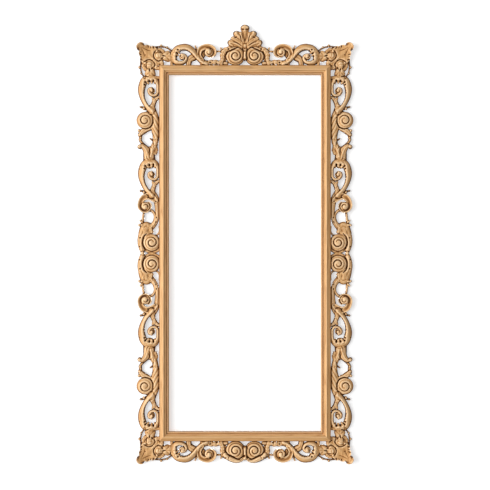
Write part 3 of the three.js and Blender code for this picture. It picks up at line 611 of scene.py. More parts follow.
def top_run_strokes(high):
    eye, open_eye = (150, 34), [44, 53, 18]

    def put(points):
        return above(points, eye)
    return placed(put, [
        fluted([[-62, 4, 13], [-42, -2, 15], [-28, -13, 13], [-25, -36, 10]], high.leaf, 2),
        strap([[-99, -27, 9], [-79, -16, 12], [-61, 3, 12], [-44, 22, 12.5], [-23, 37, 13.5],
               [-1, 39, 13.5], [20, 31, 14.5], [34, 12, 14], [34, -8, 12.5], [24, -22, 11], [7, -25, 9],
               [-9, -19, 7], [-16, -6, 6.5], [-10, 7, 5.5], [2, 9, 5]], high.scroll, outer=1),
        coil([-1, 1, 13.5], high.eye, hand=1, first=2.5, pitch=9.5, start=3.6, deep=0.60),
        leaf([[22, 24, 7], [15, 18, 5], [11, 15, 3.5]], high.leaf, 8),
        leaf([[30, 10, 7], [22, 7, 5], [18, 6, 3.5]], high.leaf, 8),
        *drilled([17, 28, 4.6, 15], [6, 26, 3.2, 11], [-7, 27, 3.0, 10], [22, 16, 4.6, 15],
                 [23, 2, 4.4, 15], [24, -11, 4.0, 14]),
    ]) + placed(above, [
        leaf([[72, 8, 9], [43, 11, 11], [23, 12, 11], [-4, 12, 9]], high.leaf, 19, 3.0),
        *drilled([38, 12, 4.0, 11], [38, 3, 2.6, 8], [13, 6, 3.6, 11], [5, 18, 3.6, 11]),
        wire([[85, 50, 6], [94, 67, 4], [99, 79, 2.5]], high.tendril),
        wire([[24, 55, 4.5], [-6, 57, 3]], high.tendril),
        fluted([[72, 34, 8], [64, 46, 9], [62, 60, 8]], high.tendril, 2),
        hollow([[71, 19, 9], [83, 41, 9], [78, 63, 10.5], [61, 73, 11], [43, 73, 12], [29, 64, 13],
                [25, 50, 12], [34, 40, 9], [47, 42, 8]], high.scroll, 0.34),
        coil(open_eye, high.eye, hand=-1, first=4.5, pitch=12.0, start=0.8, deep=0.62),
        *drilled([38, 66, 3.2, 11]),
    ])


def top_medallion_strokes(high, brow):
    strokes = [
        Ground([[WEB_HALF, 24, 0], [WEB_HALF, WEB_TOP, 0], [-WEB_HALF, WEB_TOP, 0], [-WEB_HALF, 24, 0]],
               lambda deep, p, q: high.base - 2 + 0 * deep),
        wire([[0, 66, 8], [0, 48, 5.5], [0, 26, 8]], high.eye - 1),
        leaf([[84, 52, 8], [77, 42, 9], [82, 24, 8]], high.base, 12),
        wire([[74, 9, 8], [100, 10, 8]], high.base),
        wire([[90, 58, 6], [97, 70, 3]], high.tendril),
        leaf([[63, 68, 9], [80, 60, 11], [90, 43, 11], [90, 27, 9], [94, 12, 7], [96, -3, 6]],
             high.leaf, 13, 3.0),
        coil([ROSETTE, ROSETTE, ROSETTE], high.eye, hand=-1, first=7.0, pitch=12.5, start=3.67),
    ]
    if brow:
        strokes += [
            fluted([[80, 54, 9], [69, 65, 11], [53, 73, 11], [36, 79, 9], [18, 77, 7], [0, 63, 5]],
                   high.eye - 1, 2),
            veined([[16, 76, 1.2], [8, 69, 3.0], [0, 61, 3.4]], 9),
            *drilled([66, 76, 3.4, 9], [76, 66, 3.4, 9]),
            ball([0, 70, 8], high.scroll),
        ]
    strokes += [
        veined([[74, 42, 1.2], [69, 53, 3.4], [57, 59, 4.4], [42, 66, 4.2], [28, 73, 3.2], [14, 76, 1.2]],
               12),
        veined([[61, 57, 1.2], [64, 63, 2.6], [67, 70, 1.2]], 7),
        # Painted shade over the rosette and beside the middle strand, and a painted highlight along that
        # strand
        painted_shading_line([[ROSETTE, ROSETTE, ROSETTE + 4]], 0.08),
        veined([[18, 71, 1.2], [8, 62, 3.0], [0, 56, 3.6]], 8),
        painted_shading_line([[16, 70, 4], [6, 60, 6], [0, 57, 6]], 0.2),
        painted_shading_line([[10, 30, 4], [4, 24, 6], [0, 22, 7]], 0.3),
        painted_shading_line([[0, 49, 5], [0, 34, 5]], -0.1),
    ]
    return with_twins(placed(above_middle, strokes), over_middle)


def crest_strokes(high):
    edge = [(10, 161), (17, 154), (17.5, 145), (14, 138), (17, 133), (24, 135), (32, 138), (40, 136),
            (45, 130), (44, 123), (42, 118), (48, 116), (53, 114), (56, 108), (53, 102), (60, 102), (67, 98),
            (70, 91), (67, 86), (66, 80), (64, 72), (48, 66), (26, 62), (0, 54)]
    outline = [(0, 162, 0)] + [(p, v, 0) for p, v in edge] + [(-p, v, 0) for p, v in reversed(edge[:-1])]

    def fan(deep, p, q):
        v = q - HALF_HEIGHT - 50
        out = np.hypot(p, v)
        rib = np.cos(np.arctan2(p, v) * 30)
        rise = np.clip((out - 15) / 75, 0, 1)
        return (high.base - 2 + 9 * rise + 2.6 * rib * np.clip(out / 40, 0, 1)) * (
            0.60 + 0.40 * rounded(1 - np.clip(deep / 7, 0, 1)))

    lobes = placed(above_middle, [
        fluted([[14, 74, 9], [36, 86, 14], [53, 91, 13], [61, 92, 9.5]], high.stem, 3, 2.6, set_in=False),
        fluted([[10, 83, 8], [27, 98, 13], [43, 106, 11.5], [50, 107, 8]],
               high.stem + 0.5, 2, 2.6, set_in=False),
        fluted([[7, 92, 8], [20, 111, 14], [32, 124, 14], [37, 127, 11]],
               high.stem + 1, 3, 2.6, set_in=False),
        veined([[14, 75, 1.2], [23, 84, 2.4], [37, 92, 2.6], [56, 94, 1.2]], 2),
        veined([[14, 92, 1.2], [24, 103, 2.0], [33, 110, 1.2]], 3),
        veined([[47, 65, 1.2], [46, 71, 2.6], [46, 78, 1.2]], 7),
        veined([[32, 115, 1.2], [37, 111, 2.8], [44, 109, 1.2]], 7),
        veined([[19, 118, 1.2], [16, 106, 3.4], [12, 95, 1.2]], 7),
        # Painted shade at the lobes' tips and under the cap
        painted_shading_line([[33, 137, 4], [42, 133, 6], [46, 121, 4]]),
        painted_shading_line([[61, 101, 4], [67, 95, 6], [67, 85, 4]]),
        painted_shading_line([[13, 147, 4], [17, 154, 6], [8, 162, 5]], 0.26),
        *drilled([40, 134, 4.0, 9], [68, 92, 3.6, 9]),
    ])
    fan_leaf = placed(above_middle, [Ground(outline, fan)])
    return fan_leaf + with_twins(lobes, over_middle) + placed(above_middle, [
        hollow([[0, 58, 6], [0, 90, 7], [0, 120, 10], [0, 140, 15], [0, 147, 15]], high.stem, 0.34),
        veined([[0, 96, 1.2], [0, 114, 7.0], [0, 130, 6.0], [0, 138, 1.2]], 4),
        ball([0, 79, 12], high.stem, set_in=False),
        wire([[-9.5, 151, 7], [0, 153, 9], [9.5, 151, 7]], high.scroll + 1),
        # Painted shade under the cap, and a faint painted shade over the fan
        painted_shading_line([[-14, 143, 1.2], [0, 142, 3.0], [14, 143, 1.2]]),
        painted_shading_line([[-30, 88, 40], [0, 112, 46], [30, 88, 40]], 0.035),
    ])


def corner_strokes(high):
    edge = [(86, 86), (79, 90), (71, 91), (63, 88), (58, 80), (50, 82), (40, 80), (33, 76), (24, 78),
            (14, 70), (6, 60), (-6, 50), (-12, 30), (-6, 12), (2, 2)]
    outline = [(a, b, 0) for a, b in edge] + [(b, a, 0) for a, b in reversed(edge[1:-1])]

    def shield(deep, p, q):
        a, b = p - HALF_WIDTH, q - HALF_HEIGHT
        out = (a + b) / 2
        curl = np.clip((out - 56) / 28, 0, 1) ** 1.5
        rim = np.clip(1 - deep / 9, 0, 1) ** 2 * np.clip((out - 25) / 20, 0, 1)
        flute = 0.7 * np.cos((np.arctan2(b - 20, a - 20) - np.pi / 4) * 9)
        return high.base + 1 + (high.tip - high.base - 1) * np.clip(curl + 0.35 * rim, 0, 1) + flute

    curls = placed(at_corner, [
        leaf([[-4, 40, 19], [-24, 37, 22], [-46, 37, 22]], high.leaf, 22, 2.4),
        leaf([[-2, 22, 10], [-9, 10, 9], [-11, -3, 8]], high.leaf, 14, set_in=False),
        leaf([[-47, 24, 8], [-49, 10, 7], [-50, -3, 7]], high.leaf, 14, set_in=False),
        wire([[22, 73, 3.6], [-7, 76, 3.2], [-31, 71, 3.0], [-50, 58, 3.6]], 0.8 * high.tendril),
        ball([-7, 80, 5], high.tendril),
        ball([-31, 73, 4.6], high.tendril),
        # Painted shade along the tendril and round the curled tip
        painted_shading_line([[22, 73, 7], [-7, 77, 7], [-31, 71, 7], [-50, 58, 7]], 0.26),
        painted_shading_line([[54, 82, 5], [60, 87, 10], [68, 92, 9], [80, 93, 6]], 0.34),
        leaf([[10, 62, 9], [-4, 62, 9], [-16, 56, 7]], high.base, 12, set_in=False),
        coil([3, 39, 18], high.stem, hand=1, first=6.0, pitch=10.0, start=2.2, deep=0.16),
        veined([[4, 47, 1.2], [3, 38, 2.2], [0, 29, 1.2]], 4),
        # Painted shade in the hollows of the leaf beside the curl
        painted_shading_line([[14, 46, 3], [0, 53, 8], [-14, 44, 7], [-20, 32, 3]], 0.10),
        painted_shading_line([[-2, 20, 4], [-16, 22, 7], [-28, 18, 4]], 0.10),
        veined([[12, 62, 1.2], [20, 52, 2.2], [23, 40, 2.6], [18, 26, 2.8], [6, 17, 2.6], [-8, 20, 1.2]],
               9),
        ball([10, 56, 4.6], high.scroll, set_in=False),
        veined([[4, 50, 1.2], [-5, 51, 2.6], [-13, 49, 1.2]], 7),
        veined([[-12, 41, 1.2], [-18, 39, 3.2], [-25, 37, 1.2]], 10),
        veined([[-6, 28, 1.2], [-12, 29, 2.6], [-17, 32, 1.2]], 7),
        veined([[-40, 56, 1.2], [-45, 50, 3.0], [-46, 42, 1.2]], 9),
        veined([[46, 86, 2.6], [45, 79, 2.2], [43, 73, 1.2]], 10),
        veined([[36, 86, 2.6], [35, 77, 2.2], [33, 70, 1.2]], 10),
        veined([[22, 84, 2.6], [22, 76, 2.2], [21, 69, 1.2]], 10),
        veined([[70, 72, 1.2], [58, 66, 2.6], [44, 60, 2.6], [34, 58, 1.2]], 2.2),
    ])
    shield_leaf = placed(at_corner, [Ground(outline, shield)])
    return shield_leaf + with_twins(curls, over_mitre) + placed(at_corner, [
        leaf([[4, 4, 7], [14, 14, 9], [22, 22, 7]], high.base + 2, 12, set_in=False),
        ball([27, 27, 5], high.leaf, set_in=False),
        *drilled([62, 86, 4.4, 8], [86, 62, 4.4, 8], [80, 60, 3.0, 6], [60, 80, 3.0, 6], [56, 42, 2.6, 4]),
    ])


# Reliefs and the pieces cut out of them

class Piece:
    """What a relief is cut to: how far inside the piece a point is, and the box that holds it."""

    def __init__(self, low, high, inside):
        self.low, self.high, self.inside = low, high, inside


def upright_piece(start, end):
    """A stretch of the carving beside the moulding, from start to end along q."""
    edge = HALF_WIDTH + FIT_GAP
    return Piece((edge - BOX_MARGIN, start - BOX_MARGIN), (HALF_WIDTH + CARVING_REACH, end + BOX_MARGIN),
                 lambda p, q: np.minimum.reduce([p - edge, q - start, end - q]))


def level_piece(start, end):
    """A stretch of the carving above the moulding, from start to end along p."""
    edge = HALF_HEIGHT + FIT_GAP
    return Piece((start - BOX_MARGIN, edge - BOX_MARGIN), (end + BOX_MARGIN, HALF_HEIGHT + CARVING_REACH),
                 lambda p, q: np.minimum.reduce([q - edge, p - start, end - p]))


def side_run_piece():
    return upright_piece(SIDE_MEDALLION_HALF + FIT_GAP / 2, CORNER_Q - FIT_GAP / 2)


def side_medallion_piece():
    end = SIDE_MEDALLION_HALF - FIT_GAP / 2
    return upright_piece(-end, end)


def top_run_piece():
    return level_piece(TOP_MEDALLION_HALF + FIT_GAP / 2, CORNER_P - FIT_GAP / 2)


def below_crest(p, q):
    """How far a point of the top medallion is from the crest that stands on it."""
    v = q - HALF_HEIGHT
    rosettes = ROSETTE - np.hypot(np.abs(p) - ROSETTE, v - ROSETTE)
    web = np.minimum(WEB_HALF - np.abs(p), WEB_TOP - v)
    side = np.abs(p) - 60.5 - 0.6 * np.clip(v - 70, 0, 30)
    return np.maximum.reduce([rosettes, web, side])


def top_medallion_piece(crested):
    end = TOP_MEDALLION_HALF - FIT_GAP / 2
    piece = level_piece(-end, end)
    if not crested:
        return piece
    return Piece(piece.low, piece.high, lambda p, q: np.minimum(piece.inside(p, q), below_crest(p, q)))


def crest_piece():
    def inside(p, q):
        v = q - HALF_HEIGHT
        rosettes = np.hypot(np.abs(p) - ROSETTE, v - ROSETTE) - ROSETTE - FIT_GAP
        web = np.maximum(np.abs(p) - WEB_HALF - FIT_GAP, v - WEB_TOP - FIT_GAP)
        return np.minimum(rosettes, web)
    return Piece((-CREST_HALF, HALF_HEIGHT + CREST_FOOT), (CREST_HALF, HALF_HEIGHT + CREST_TOP), inside)


def corner_piece():
    left, low = CORNER_P + FIT_GAP / 2, CORNER_Q + FIT_GAP / 2
    edge_p, edge_q = HALF_WIDTH + FIT_GAP, HALF_HEIGHT + FIT_GAP
    return Piece((left - BOX_MARGIN, low - BOX_MARGIN),
                 (HALF_WIDTH + CORNER_REACH, HALF_HEIGHT + CORNER_REACH),
                 lambda p, q: np.minimum.reduce([p - left, q - low, np.maximum(p - edge_p, q - edge_q)]))


def spread(count, radius):
    """A matrix that blurs a row of values over a radius given in steps."""
    away = np.arange(count)[:, None] - np.arange(count)[None]
    return np.exp(-0.5 * (away / radius) ** 2)


def blurred(values, mask, radius):
    left, right = spread(values.shape[0], radius), spread(values.shape[1], radius)
    return (left @ (values * mask) @ right) / np.maximum(left @ mask @ right, 1e-6)


class Relief:
    """The strokes' surface over a grid, cut to a piece and closed with a flat back."""

    def __init__(self, strokes, piece, step):
        self.step = step
        (p0, q0), (p1, q1) = piece.low, piece.high
        self.p = np.arange(p0, p1 + step, step)
        self.q = np.arange(q0, q1 + step, step)
        grid_p, grid_q = np.meshgrid(self.p, self.q, indexing="ij")
        deep = np.full(grid_p.shape, -1e3)
        high = np.full(grid_p.shape, -1.0)
        edge = np.full(grid_p.shape, OUTER_HEIGHT)
        tone = np.zeros(grid_p.shape)
        for stroke in strokes:
            window = self.window(stroke)
            if window is None:
                continue
            inside, rise = stroke.lay(grid_p[window], grid_q[window])
            # A painted shading stroke: painted shade along its line, or painted highlight where negative
            if stroke.shade_and_stain:
                tone[window] += stroke.shade_and_stain * np.clip(inside / SHADING_FADE, 0, 1)
            elif stroke.carve:
                high[window] -= np.where(inside > 0, rise, 0)
            else:
                if stroke.set_in:
                    near = np.clip(1 + inside / SET_IN_WIDTH, 0, 1) * (inside <= 0) * (deep[window] > 0)
                    high[window] -= SET_IN_DEPTH * near
                edge[window] = np.where(inside > deep[window], rise, edge[window])
                high[window] = np.where(inside > 0, np.maximum(high[window], rise), high[window])
                deep[window] = np.maximum(deep[window], inside)
        self.deep = np.minimum(deep, piece.inside(grid_p, grid_q))
        mask = (self.deep > 0).astype(float)
        rough = np.maximum(np.where(deep > 0, high, edge), LEAST_HEIGHT)
        self.high = blurred(rough, np.maximum(mask, 1e-4), 0.8)
        solid = np.clip((blurred(mask, np.ones(mask.shape), THIN_REACH / step) - 0.5) / 0.35, 0.3, 1)
        fine = self.high - blurred(self.high, mask, FINE_REACH / step)
        broad = self.high - blurred(self.high, mask, BROAD_REACH / step)
        fine, broad = [np.where(part < 0, part * solid, part) for part in (fine, broad)]
        # Painted shade along the joint with the moulding, fading out over the carving
        joint = np.maximum(grid_p - HALF_WIDTH, grid_q - HALF_HEIGHT)
        tone += JOINT_SHADE * np.exp(-np.clip(joint, 0, 20) / JOINT_REACH)
        # Tone for the finish: painted shade in hollows with their stain, painted highlight on ridges with
        # their wear
        self.shading_and_patina = np.clip(FLAT_TONE + FINE_TONE * fine + BROAD_TONE * broad - tone, 0, 1)

    def window(self, stroke):
        """The part of the grid that a stroke can reach, or None."""
        low, high = stroke.reach()
        i = np.searchsorted(self.p, [low[0] - 3 * self.step, high[0] + 3 * self.step])
        j = np.searchsorted(self.q, [low[1] - 3 * self.step, high[1] + 3 * self.step])
        if i[0] == i[1] or j[0] == j[1]:
            return None
        return np.s_[i[0]:i[1], j[0]:j[1]]

    def mesh(self):
        """The top's points (p, q, height, painted shading and patina tone), its faces and the pairs of points
        along its rim.
        """
        deep, high, shading_and_patina = self.deep, self.high, self.shading_and_patina
        nodes = deep > 0
        grid = np.stack(np.broadcast_arrays(self.p[:, None], self.q[None], high, shading_and_patina), -1)
        places, count, numbers = [grid[nodes]], int(nodes.sum()), {}
        node_id = np.full(nodes.shape, -1)
        node_id[nodes] = np.arange(count)
        for axis in (0, 1):
            here = np.s_[:-1, :] if axis == 0 else np.s_[:, :-1]
            there = np.s_[1:, :] if axis == 0 else np.s_[:, 1:]
            crossing = nodes[here] != nodes[there]
            share_along = (deep[here] / np.where(crossing, deep[here] - deep[there], 1))[..., None]
            spot = grid[here] + np.clip(share_along, 0.02, 0.98) * (grid[there] - grid[here])
            inner = np.where(nodes[here][..., None], grid[here], grid[there])
            spot[..., 2:] = 0.5 * (spot[..., 2:] + inner[..., 2:])
            ids = np.full(crossing.shape, -1)
            ids[crossing] = count + np.arange(crossing.sum())
            places.append(spot[crossing])
            count += int(crossing.sum())
            numbers[axis] = ids
        corner = [node_id[:-1, :-1], node_id[1:, :-1], node_id[1:, 1:], node_id[:-1, 1:]]
        side = [numbers[0][:, :-1], numbers[1][1:, :], numbers[0][:, 1:], numbers[1][:-1, :]]
        case = sum((corner[k] >= 0).astype(int) << k for k in range(4))
        faces, rims = [], []
        for pattern in range(1, 16):
            cells = case == pattern
            if not cells.any():
                continue
            for ring, rim in cell_shapes(pattern):
                part = [(corner if kind == "c" else side)[k][cells] for kind, k in ring]
                faces.append(np.stack(part, 1))
                if rim:
                    rims.append(np.stack([side[k][cells] for k in rim], 1))
        return np.concatenate(places), faces, np.concatenate(rims)


def cell_shapes(pattern):
    """The rings of a grid cell's inside, by which of its corners are inside, with the ends of each rim."""
    inside = [bool(pattern >> k & 1) for k in range(4)]
    if pattern == 15:
        return [([("c", 0), ("c", 1), ("c", 2), ("c", 3)], None)]
    if pattern in (5, 10):
        return [([("c", k), ("s", k), ("s", (k - 1) % 4)], (k, (k - 1) % 4)) for k in range(4) if inside[k]]
    ring, rim = [], []
    for k in range(4):
        if inside[k]:
            ring.append(("c", k))
        if inside[k] != inside[(k + 1) % 4]:
            ring.append(("s", k))
            rim.append(k)
    leaves = next(k for k in range(4) if inside[k] and not inside[(k + 1) % 4])
    enters = next(k for k in range(4) if not inside[k] and inside[(k + 1) % 4])
    return [(ring, (leaves, enters))]


def body_of(relief):
    """A closed body: the relief on top, a flat back and walls between them."""
    top, faces, rims = relief.mesh()
    count = len(top)
    back = top.copy()
    back[:, 2] = 0
    # Painted shade on the back, which the walls blend into from the top's tone
    back[:, 3] = BACK_SHADE
    rings = [*faces, *[count + ring[:, ::-1] for ring in faces]]
    rings.append(np.stack([rims[:, 1], rims[:, 0], count + rims[:, 0], count + rims[:, 1]], 1))
    return np.concatenate([top, back]), rings


def band(here, there, count):
    """The faces between two closed loops of points, whose first points have the given numbers."""
    index = np.arange(count)
    after = (index + 1) % count
    return np.stack([here + index, here + after, there + after, there + index], 1)


def mesh_from(name, points, rings, sharp, shading_and_patina=None):
    """A mesh from arrays of points and of rings of equal length."""
    mesh = bpy.data.meshes.new(name)
    loops = np.concatenate([ring.ravel() for ring in rings])
    sizes = np.concatenate([np.full(len(ring), ring.shape[1]) for ring in rings])
    mesh.vertices.add(len(points))
    mesh.vertices.foreach_set("co", np.ascontiguousarray(points, np.float32).ravel())
    mesh.loops.add(len(loops))
    mesh.loops.foreach_set("vertex_index", loops.astype(np.int32))
    mesh.polygons.add(len(sizes))
    mesh.polygons.foreach_set("loop_start", np.concatenate([[0], np.cumsum(sizes)[:-1]]).astype(np.int32))
    mesh.update(calc_edges=True)
    if mesh.validate():
        raise RuntimeError(f"{name} has faulty faces")
    mesh.shade_smooth()
    mesh.set_sharp_from_angle(angle=math.radians(sharp))
    # The painted shading and patina tone, which the finish reads
    if shading_and_patina is not None:
        attribute = mesh.attributes.new("shading_and_patina", "FLOAT", "POINT")
        attribute.data.foreach_set("value", np.ascontiguousarray(shading_and_patina, np.float32))
    return mesh


def show(name, mesh, material, body="frame"):
    """Puts a piece in the scene on its body, in place of the CAD node of the same name."""
    mesh.materials.append(material)
    piece = bpy.data.objects.new(f"{name}_piece", mesh)
    bpy.context.scene.collection.objects.link(piece)
    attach(piece, body)
    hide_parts(name)


def mirrored(name, body, half, level, sharp):
    """A mesh from a body over the right upper quarter, mirrored to its half and level."""
    points, rings = body
    place = np.stack([half * points[:, 0], -points[:, 2], MIDDLE + level * points[:, 1]], 1) * MM
    if half * level < 0:
        rings = [ring[:, ::-1] for ring in rings]
    return mesh_from(name, place, rings, sharp, points[:, 3])


def carve(name, body, half, level, material):
    show(name, mirrored(name, body, half, level, CARVING_SHARP), material)


# Finishes

def node(tree, kind, place, **values):
    made = tree.nodes.new(kind)
    made.location = place
    for name, value in values.items():
        setattr(made, name, value)
    return made


def feed(tree, sockets, values):
    """Sets each socket to its value, or links it where the value is another socket."""
    for socket, value in zip(sockets, values):
        if isinstance(value, bpy.types.NodeSocket):
            tree.links.new(value, socket)
        else:
            socket.default_value = value


def math_node(tree, operation, place, *inputs, clamp=False):
    made = node(tree, "ShaderNodeMath", place, operation=operation, use_clamp=clamp)
    feed(tree, made.inputs, inputs)
    return made.outputs[0]


def mix_colour(tree, place, share_of, first, second):
    made = node(tree, "ShaderNodeMix", place, data_type="RGBA")
    feed(tree, (made.inputs[0], made.inputs[6], made.inputs[7]), (share_of, first, second))
    return made.outputs[2]


def noise(tree, place, vector, scale, detail, roughness, distortion=0.0):
    made = node(tree, "ShaderNodeTexNoise", place)
    sockets = [made.inputs[title] for title in ("Vector", "Scale", "Detail", "Roughness", "Distortion")]
    feed(tree, sockets, (vector, scale, detail, roughness, distortion))
    return made.outputs["Fac"]


def effect(name, inputs, outputs):
    """A shader node group with the given sockets, and its own input and output nodes."""
    group = bpy.data.node_groups.new(name, "ShaderNodeTree")
    for title, kind in inputs:
        group.interface.new_socket(title, in_out="INPUT", socket_type=kind)
    for title, kind in outputs:
        group.interface.new_socket(title, in_out="OUTPUT", socket_type=kind)
    return group, node(group, "NodeGroupInput", (-1200, 0)), node(group, "NodeGroupOutput", (900, 0))


def wood_grain():
    """Growth rings, fibres and broad changes of tone along the grain."""
    group, given, result = effect(
        "Wood grain",
        [("Vector", "NodeSocketVector"), ("Pale", "NodeSocketColor"), ("Wood", "NodeSocketColor"),
         ("Dark", "NodeSocketColor")],
        [("Color", "NodeSocketColor"), ("Roughness", "NodeSocketFloat"), ("Height", "NodeSocketFloat")])
    vector = given.outputs["Vector"]
    figure = noise(group, (-950, 300), vector, 34, 3, 0.5, 0.4)
    fibres = noise(group, (-950, 0), vector, 620, 2, 0.6)
    patches = noise(group, (-950, -300), vector, 7, 2, 0.5)
    turns = math_node(group, "MULTIPLY", (-850, 400), figure, 9.0)
    rings = math_node(group, "PINGPONG", (-700, 350), turns, 0.5)
    lines = math_node(group, "POWER", (-500, 350), math_node(group, "MULTIPLY", (-600, 350), rings, 2.0), 3.0)
    tone = math_node(group, "MULTIPLY_ADD", (-700, -200), patches, 1.6, -0.3, clamp=True)
    base = mix_colour(group, (-300, 200), tone, given.outputs["Wood"], given.outputs["Pale"])
    ring_share = math_node(group, "MULTIPLY", (-300, 400), lines, 0.90)
    ringed = mix_colour(group, (-100, 200), ring_share, base, given.outputs["Dark"])
    pores = math_node(group, "MULTIPLY_ADD", (-500, 0), fibres, 2.6, -1.25, clamp=True)
    pore_share = math_node(group, "MULTIPLY", (-100, 0), pores, 0.6)
    coloured = mix_colour(group, (100, 200), pore_share, ringed, given.outputs["Dark"])
    rough = math_node(group, "MULTIPLY_ADD", (300, 0), fibres, 0.30, 0.36)
    raised = math_node(group, "MULTIPLY", (100, -200), lines, 0.4)
    height = math_node(group, "SUBTRACT", (300, -200), raised, pores)
    feed(group, result.inputs, (coloured, rough, height))
    return group


def patina_and_painted_shade():
    """Stain and painted shade in the hollows, darkest as painted shade in the deepest ones, and pale ridges
    that are partly rubbed wear and partly painted highlight.
    """
    group, given, result = effect(
        "Patina and painted shade",
        [("Color", "NodeSocketColor"), ("Cavity", "NodeSocketFloat"), ("Stain", "NodeSocketColor"),
         ("Crevice", "NodeSocketColor"), ("Crevice strength", "NodeSocketFloat"),
         ("Rubbed", "NodeSocketColor"), ("Rubbed strength", "NodeSocketFloat")],
        [("Color", "NodeSocketColor")])
    shading_and_patina = given.outputs["Cavity"]

    def clamped(place, factor, offset, strength):
        part = math_node(group, "MULTIPLY_ADD", place, shading_and_patina, factor, offset, clamp=True)
        return math_node(group, "MULTIPLY", (place[0] + 200, place[1]), part, given.outputs[strength])
    # Painted highlight on the ridges, together with the paleness of rubbed wear
    pale = mix_colour(group, (-500, 0), clamped((-900, -200), 3.2, -1.75, "Rubbed strength"),
                      given.outputs["Color"], given.outputs["Rubbed"])
    # Stain and painted shade in the hollows
    stained_and_shaded = mix_colour(group, (-300, 0), clamped((-900, 200), -5.6, 2.70, "Crevice strength"),
                        pale, given.outputs["Stain"])
    # Painted shade in the deepest hollows
    crevice_shaded = mix_colour(group, (-100, 0), clamped((-900, 400), -5.6, 1.90, "Crevice strength"),
                         stained_and_shaded, given.outputs["Crevice"])
    group.links.new(crevice_shaded, result.inputs["Color"])
    return group


def worn_metal():
    """Tarnish in patches, fine rubbing marks and a slightly uneven skin."""
    group, given, result = effect(
        "Worn metal",
        [("Vector", "NodeSocketVector"), ("Metal", "NodeSocketColor"), ("Tarnish", "NodeSocketColor")],
        [("Color", "NodeSocketColor"), ("Roughness", "NodeSocketFloat"), ("Height", "NodeSocketFloat")])
    vector = given.outputs["Vector"]
    patches = noise(group, (-900, 200), vector, 160, 4, 0.6)
    marks = noise(group, (-900, -100), vector, 1400, 3, 0.7)
    aged = math_node(group, "MULTIPLY_ADD", (-650, 200), patches, 2.4, -0.95, clamp=True)
    share_of = math_node(group, "MULTIPLY", (-450, 300), aged, 0.7)
    coloured = mix_colour(group, (-300, 200), share_of, given.outputs["Metal"], given.outputs["Tarnish"])
    dull = math_node(group, "MULTIPLY_ADD", (-450, 0), aged, 0.22, 0.24)
    rough = math_node(group, "ADD", (-300, 0), dull, math_node(group, "MULTIPLY", (-450, -100), marks, 0.14))
    feed(group, result.inputs, (coloured, rough, marks))
    return group


def shared(name, build):
    """An effect that is built once and placed in each material that uses it."""
    return bpy.data.node_groups.get(name) or build()


def rgba(value):
    return (*value, 1.0)


def blank_material(name):
    material = bpy.data.materials.new(name)
    material.use_nodes = True
    tree = material.node_tree
    tree.nodes.clear()
    output = node(tree, "ShaderNodeOutputMaterial", (900, 0))
    return material, tree, output


def principled_material(name):
    """A material with one principled shader, and the object's own coordinates for it."""
    material, tree, output = blank_material(name)
    shader = node(tree, "ShaderNodeBsdfPrincipled", (600, 0))
    where = node(tree, "ShaderNodeTexCoord", (-800, 0))
    tree.links.new(shader.outputs[0], output.inputs["Surface"])
    return material, tree, shader, where.outputs["Object"]


def group_node(tree, group, place, **values):
    made = node(tree, "ShaderNodeGroup", place, node_tree=group)
    for title, value in values.items():
        made.inputs[title.replace("_", " ")].default_value = value
    return made


def bumped(tree, height, shader, strength, distance):
    bump = node(tree, "ShaderNodeBump", (400, -300))
    sockets = [bump.inputs[title] for title in ("Height", "Strength", "Distance")]
    feed(tree, sockets, (height, strength, distance))
    tree.links.new(bump.outputs["Normal"], shader.inputs["Normal"])


def wood_material(name, grain_scale, joinery=False):
    """Waxed wood whose grain runs the way that the scale is smallest."""
    ready = bpy.data.materials.get(name)
    if ready:
        return ready
    look = bpy.context.scene.mirror_frame_finishes
    material, tree, shader, where = principled_material(name)
    shader.inputs["Specular IOR Level"].default_value = 0.16
    scale = node(tree, "ShaderNodeMapping", (-600, 0))
    scale.inputs["Scale"].default_value = grain_scale
    tree.links.new(where, scale.inputs["Vector"])
    pale, wood, dark = look.wood_pale, look.wood_mid, look.wood_dark
    if joinery:
        pale, wood, dark = [[value * part for value in look.joinery] for part in (1.0, 0.85, 0.6)]
    grain = group_node(tree, shared("Wood grain", wood_grain), (-300, 0), Pale=rgba(pale), Wood=rgba(wood),
                       Dark=rgba(dark))
    tree.links.new(scale.outputs["Vector"], grain.inputs["Vector"])
    tree.links.new(grain.outputs["Roughness"], shader.inputs["Roughness"])
    bumped(tree, grain.outputs["Height"], shader, 0.25, 0.0004)
    if joinery:
        tree.links.new(grain.outputs["Color"], shader.inputs["Base Color"])
        return material
    # The mesh's tone: painted shade in hollows, joints and walls with the hollows' stain, painted highlight
    # on ridges with their wear
    hollows = node(tree, "ShaderNodeAttribute", (-300, -300), attribute_name="shading_and_patina")
    patina_and_shade = group_node(tree, shared("Patina and painted shade", patina_and_painted_shade), (100, 0), Stain=rgba(look.shade_and_stain),
                        Crevice=rgba(look.crevice_shade), Crevice_strength=look.crevice_shade_strength,
                        Rubbed=rgba(look.rubbed_and_highlit), Rubbed_strength=look.rubbed_and_highlit_strength)
    tree.links.new(grain.outputs["Color"], patina_and_shade.inputs["Color"])
    tree.links.new(hollows.outputs["Fac"], patina_and_shade.inputs["Cavity"])
    tree.links.new(patina_and_shade.outputs["Color"], shader.inputs["Base Color"])
    return material


def upright_wood(name):
    return wood_material(name, (1.0, 1.0, ALONG_GRAIN))


def level_wood(name):
    return wood_material(name, (ALONG_GRAIN, 1.0, 1.0))


